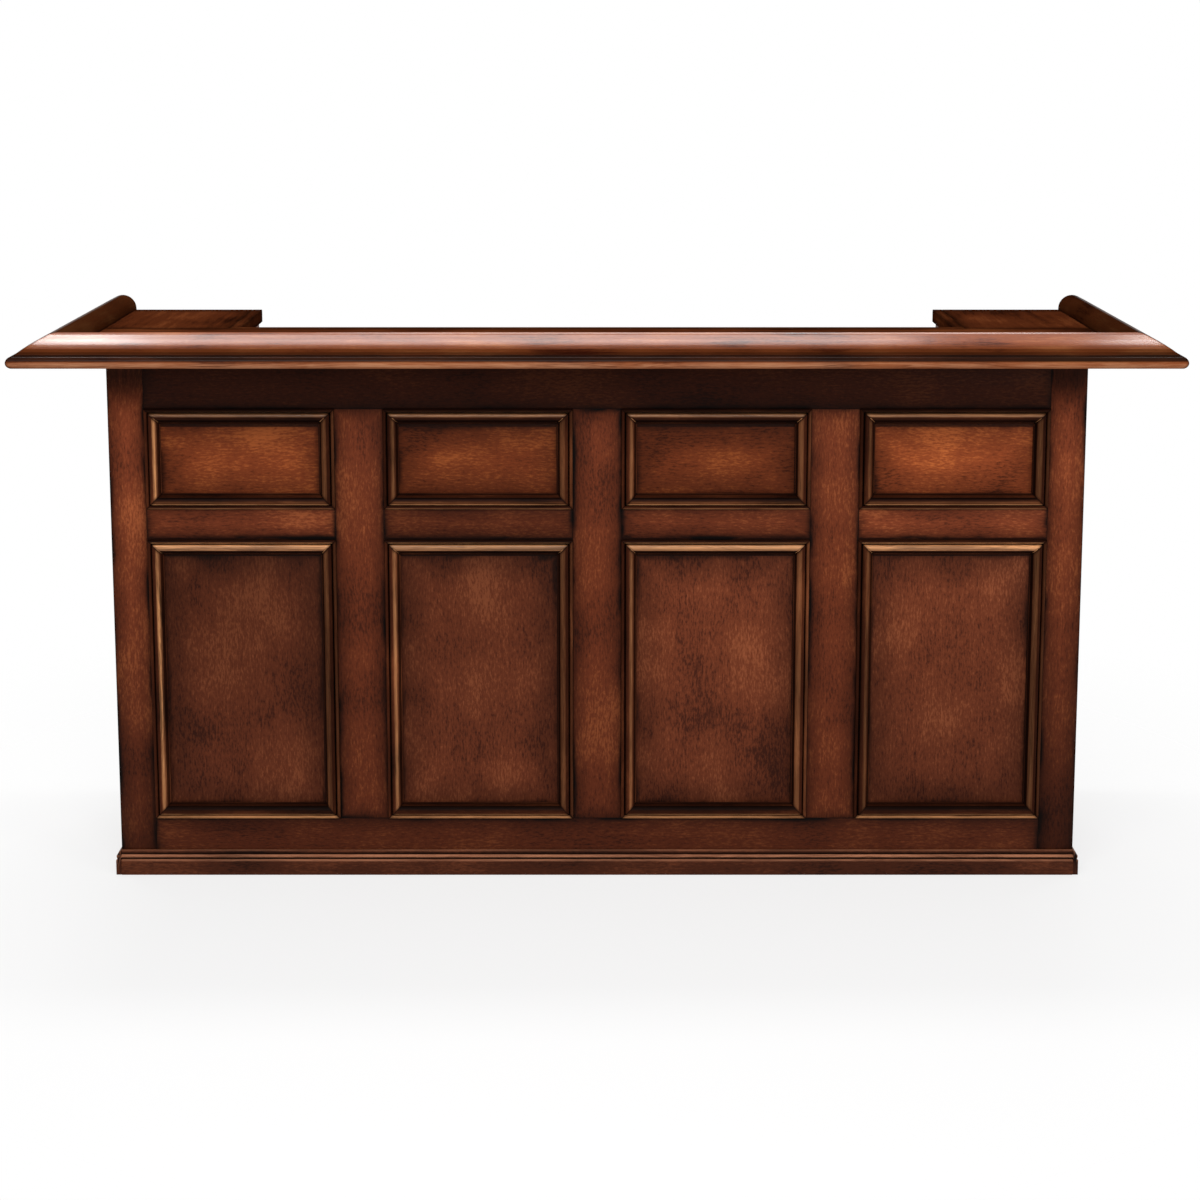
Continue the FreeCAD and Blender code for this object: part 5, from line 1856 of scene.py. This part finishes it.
@dataclass
class CabinetWork:
    """The solids of the serving side that keep their shape and get a finish."""

    level: tuple[str, ...] = ("rear_toe_rail", "bottom_board", "work_counter", "cleats", "shelves",
                              "drawer_guides")
    upright: tuple[str, ...] = ("left_partition", "right_partition")
    deep: tuple[str, ...] = ("wing_supports", "stemware_rack", "bottle_rack")
    brass: tuple[str, ...] = ("cupboard_hardware", "left_door_hinge_leaves", "right_door_hinge_leaves")
    steel: tuple[str, ...] = ("shelf_pins", "cleat_screws")
    first_seed: float = 200.0
    seed_step: float = 2.7

    def build(self) -> None:
        """Dress the boards by the way their grain runs, then the metal."""
        seed = self.first_seed
        woods = ((Grain.ALONG_X, self.level), (Grain.ALONG_Z, self.upright), (Grain.ALONG_Y, self.deep))
        for grain, nodes in woods:
            for node in nodes:
                dress_node(node, CABINET_STAIN.on_node(node, grain, seed))
                seed += self.seed_step
        for metal, nodes in ((BRASS, self.brass), (STEEL, self.steel)):
            for node in nodes:
                dress_node(node, metal.material())


@dataclass(frozen=True)
class Lamp:
    """A soft lamp: where it hangs, what it is aimed at, its size and its power in watts."""

    name: str
    place: Triple
    target: Triple
    size: Pair
    power: float

    def build(self) -> None:
        """Hang the lamp."""
        data = bpy.data.lights.new(self.name, "AREA")
        data.shape = "RECTANGLE"
        data.size, data.size_y = self.size
        data.energy = self.power
        lamp = linked(self.name, data)
        lamp.location = self.place
        lamp.rotation_euler = (Vector(self.target) - Vector(self.place)).to_track_quat("-Z", "Y").to_euler()


@dataclass
class Studio:
    """A pale floor that fades into white, soft lamps, and the camera where the photograph was taken."""

    floor_half: float = 9.0
    floor_fade: Pair = (1.0, 2.0)
    floor_white: float = 0.72
    floor_grey: float = 0.93
    sky: float = 0.42
    camera_place: Triple = (0.0055, -4.2, 1.615)
    camera_pitch: float = 8.37
    camera_lens: float = 65.3
    camera_sensor: float = 36.0
    camera_shift: float = -0.208
    lamps: tuple[Lamp, ...] = (
        Lamp("key", (-0.5, -3.3, 3.3), (0.0, -0.2, 0.5), (3.0, 1.4), 88.0),
        Lamp("fill", (3.0, -3.2, 1.9), (0.0, -0.2, 0.5), (1.4, 1.8), 32.0),
        Lamp("overhead", (-0.35, 0.45, 2.75), (-0.35, -0.2, 1.0), (2.4, 0.34), 21.5),
        Lamp("overhead_left", (-1.39, 0.45, 2.75), (-1.2, -0.2, 1.0), (0.30, 0.30), 6.0),
        Lamp("overhead_right", (1.5, 0.45, 2.75), (1.3, -0.2, 1.0), (0.22, 0.30), 4.0),
        Lamp("serving_side", (0.4, 3.6, 2.5), (0.0, 0.2, 0.6), (2.8, 1.6), 62.0),
    )

    def build(self) -> None:
        """Set up the floor, the sky, the lamps and the camera."""
        bpy.context.scene.view_settings.view_transform = "Standard"
        self.build_floor()
        self.build_sky()
        for lamp in self.lamps:
            lamp.build()
        self.build_camera()

    def build_floor(self) -> None:
        """Lay the floor, which keeps the object's shadow and fades out far from it."""
        reach = self.floor_half
        corners = [(-reach, -reach, 0), (reach, -reach, 0), (reach, reach, 0), (-reach, reach, 0)]
        mesh = bpy.data.meshes.new("floor")
        mesh.from_pydata(corners, [], [(0, 1, 2, 3)])
        sketch = NodeSketch.material("pale_floor")
        length = sketch.add("ShaderNodeVectorMath", {0: sketch.place()}, operation="LENGTH")
        far = sketch.span(length.outputs["Value"], *self.floor_fade)
        pale = sketch.out("ShaderNodeBsdfDiffuse", {"Color": (*(self.floor_grey,) * 3, 1.0)})
        white = sketch.out("ShaderNodeEmission", {"Color": WHITE})
        share = sketch.math("MULTIPLY", sketch.background_ray(), self.floor_white)
        lit = sketch.out("ShaderNodeMixShader", {0: share, 1: pale, 2: white})
        clear = sketch.out("ShaderNodeBsdfTransparent", {})
        mixed = sketch.out("ShaderNodeMixShader", {0: far, 1: lit, 2: clear})
        sketch.add("ShaderNodeOutputMaterial", {"Surface": mixed})
        mesh.materials.append(sketch.owner)
        floor = linked("floor", mesh)

    def build_sky(self) -> None:
        """Make the surroundings white to the eye and in reflections, and softer as light."""
        sketch = NodeSketch(bpy.data.worlds.new("studio"))
        strength = sketch.span(sketch.background_ray(), 0.0, 1.0, self.sky, 1.0)
        light = sketch.out("ShaderNodeBackground", {"Color": WHITE, "Strength": strength})
        sketch.add("ShaderNodeOutputWorld", {"Surface": light})
        bpy.context.scene.world = sketch.owner

    def build_camera(self) -> None:
        """Set the camera in front of the bar, above its top, looking slightly down."""
        data = bpy.data.cameras.new("camera")
        data.lens = self.camera_lens
        data.sensor_width = self.camera_sensor
        data.shift_y = self.camera_shift
        camera = linked("camera", data)
        camera.location = self.camera_place
        camera.rotation_euler = (math.radians(90 - self.camera_pitch), 0.0, 0.0)
        bpy.context.scene.camera = camera


def main() -> None:
    """Build the bar piece by piece, then the studio."""
    logging.basicConfig(level=logging.INFO, format="%(message)s")
    FrontWall().build()
    for side in Side:
        EndWall(side=side).build()
    BarTop().build()
    BaseMoulding().build()
    for side in Side:
        ServingBay(side).build()
        HingeScrews(side.door, (side.value * HingeScrews.DOOR_COLUMN,)).build()
    HingeScrews(Body.CABINET, (-HingeScrews.FRAME_COLUMN, HingeScrews.FRAME_COLUMN), seed=11).build()
    CabinetWork().build()
    Studio().build()


if __name__ == "__main__":
    main()
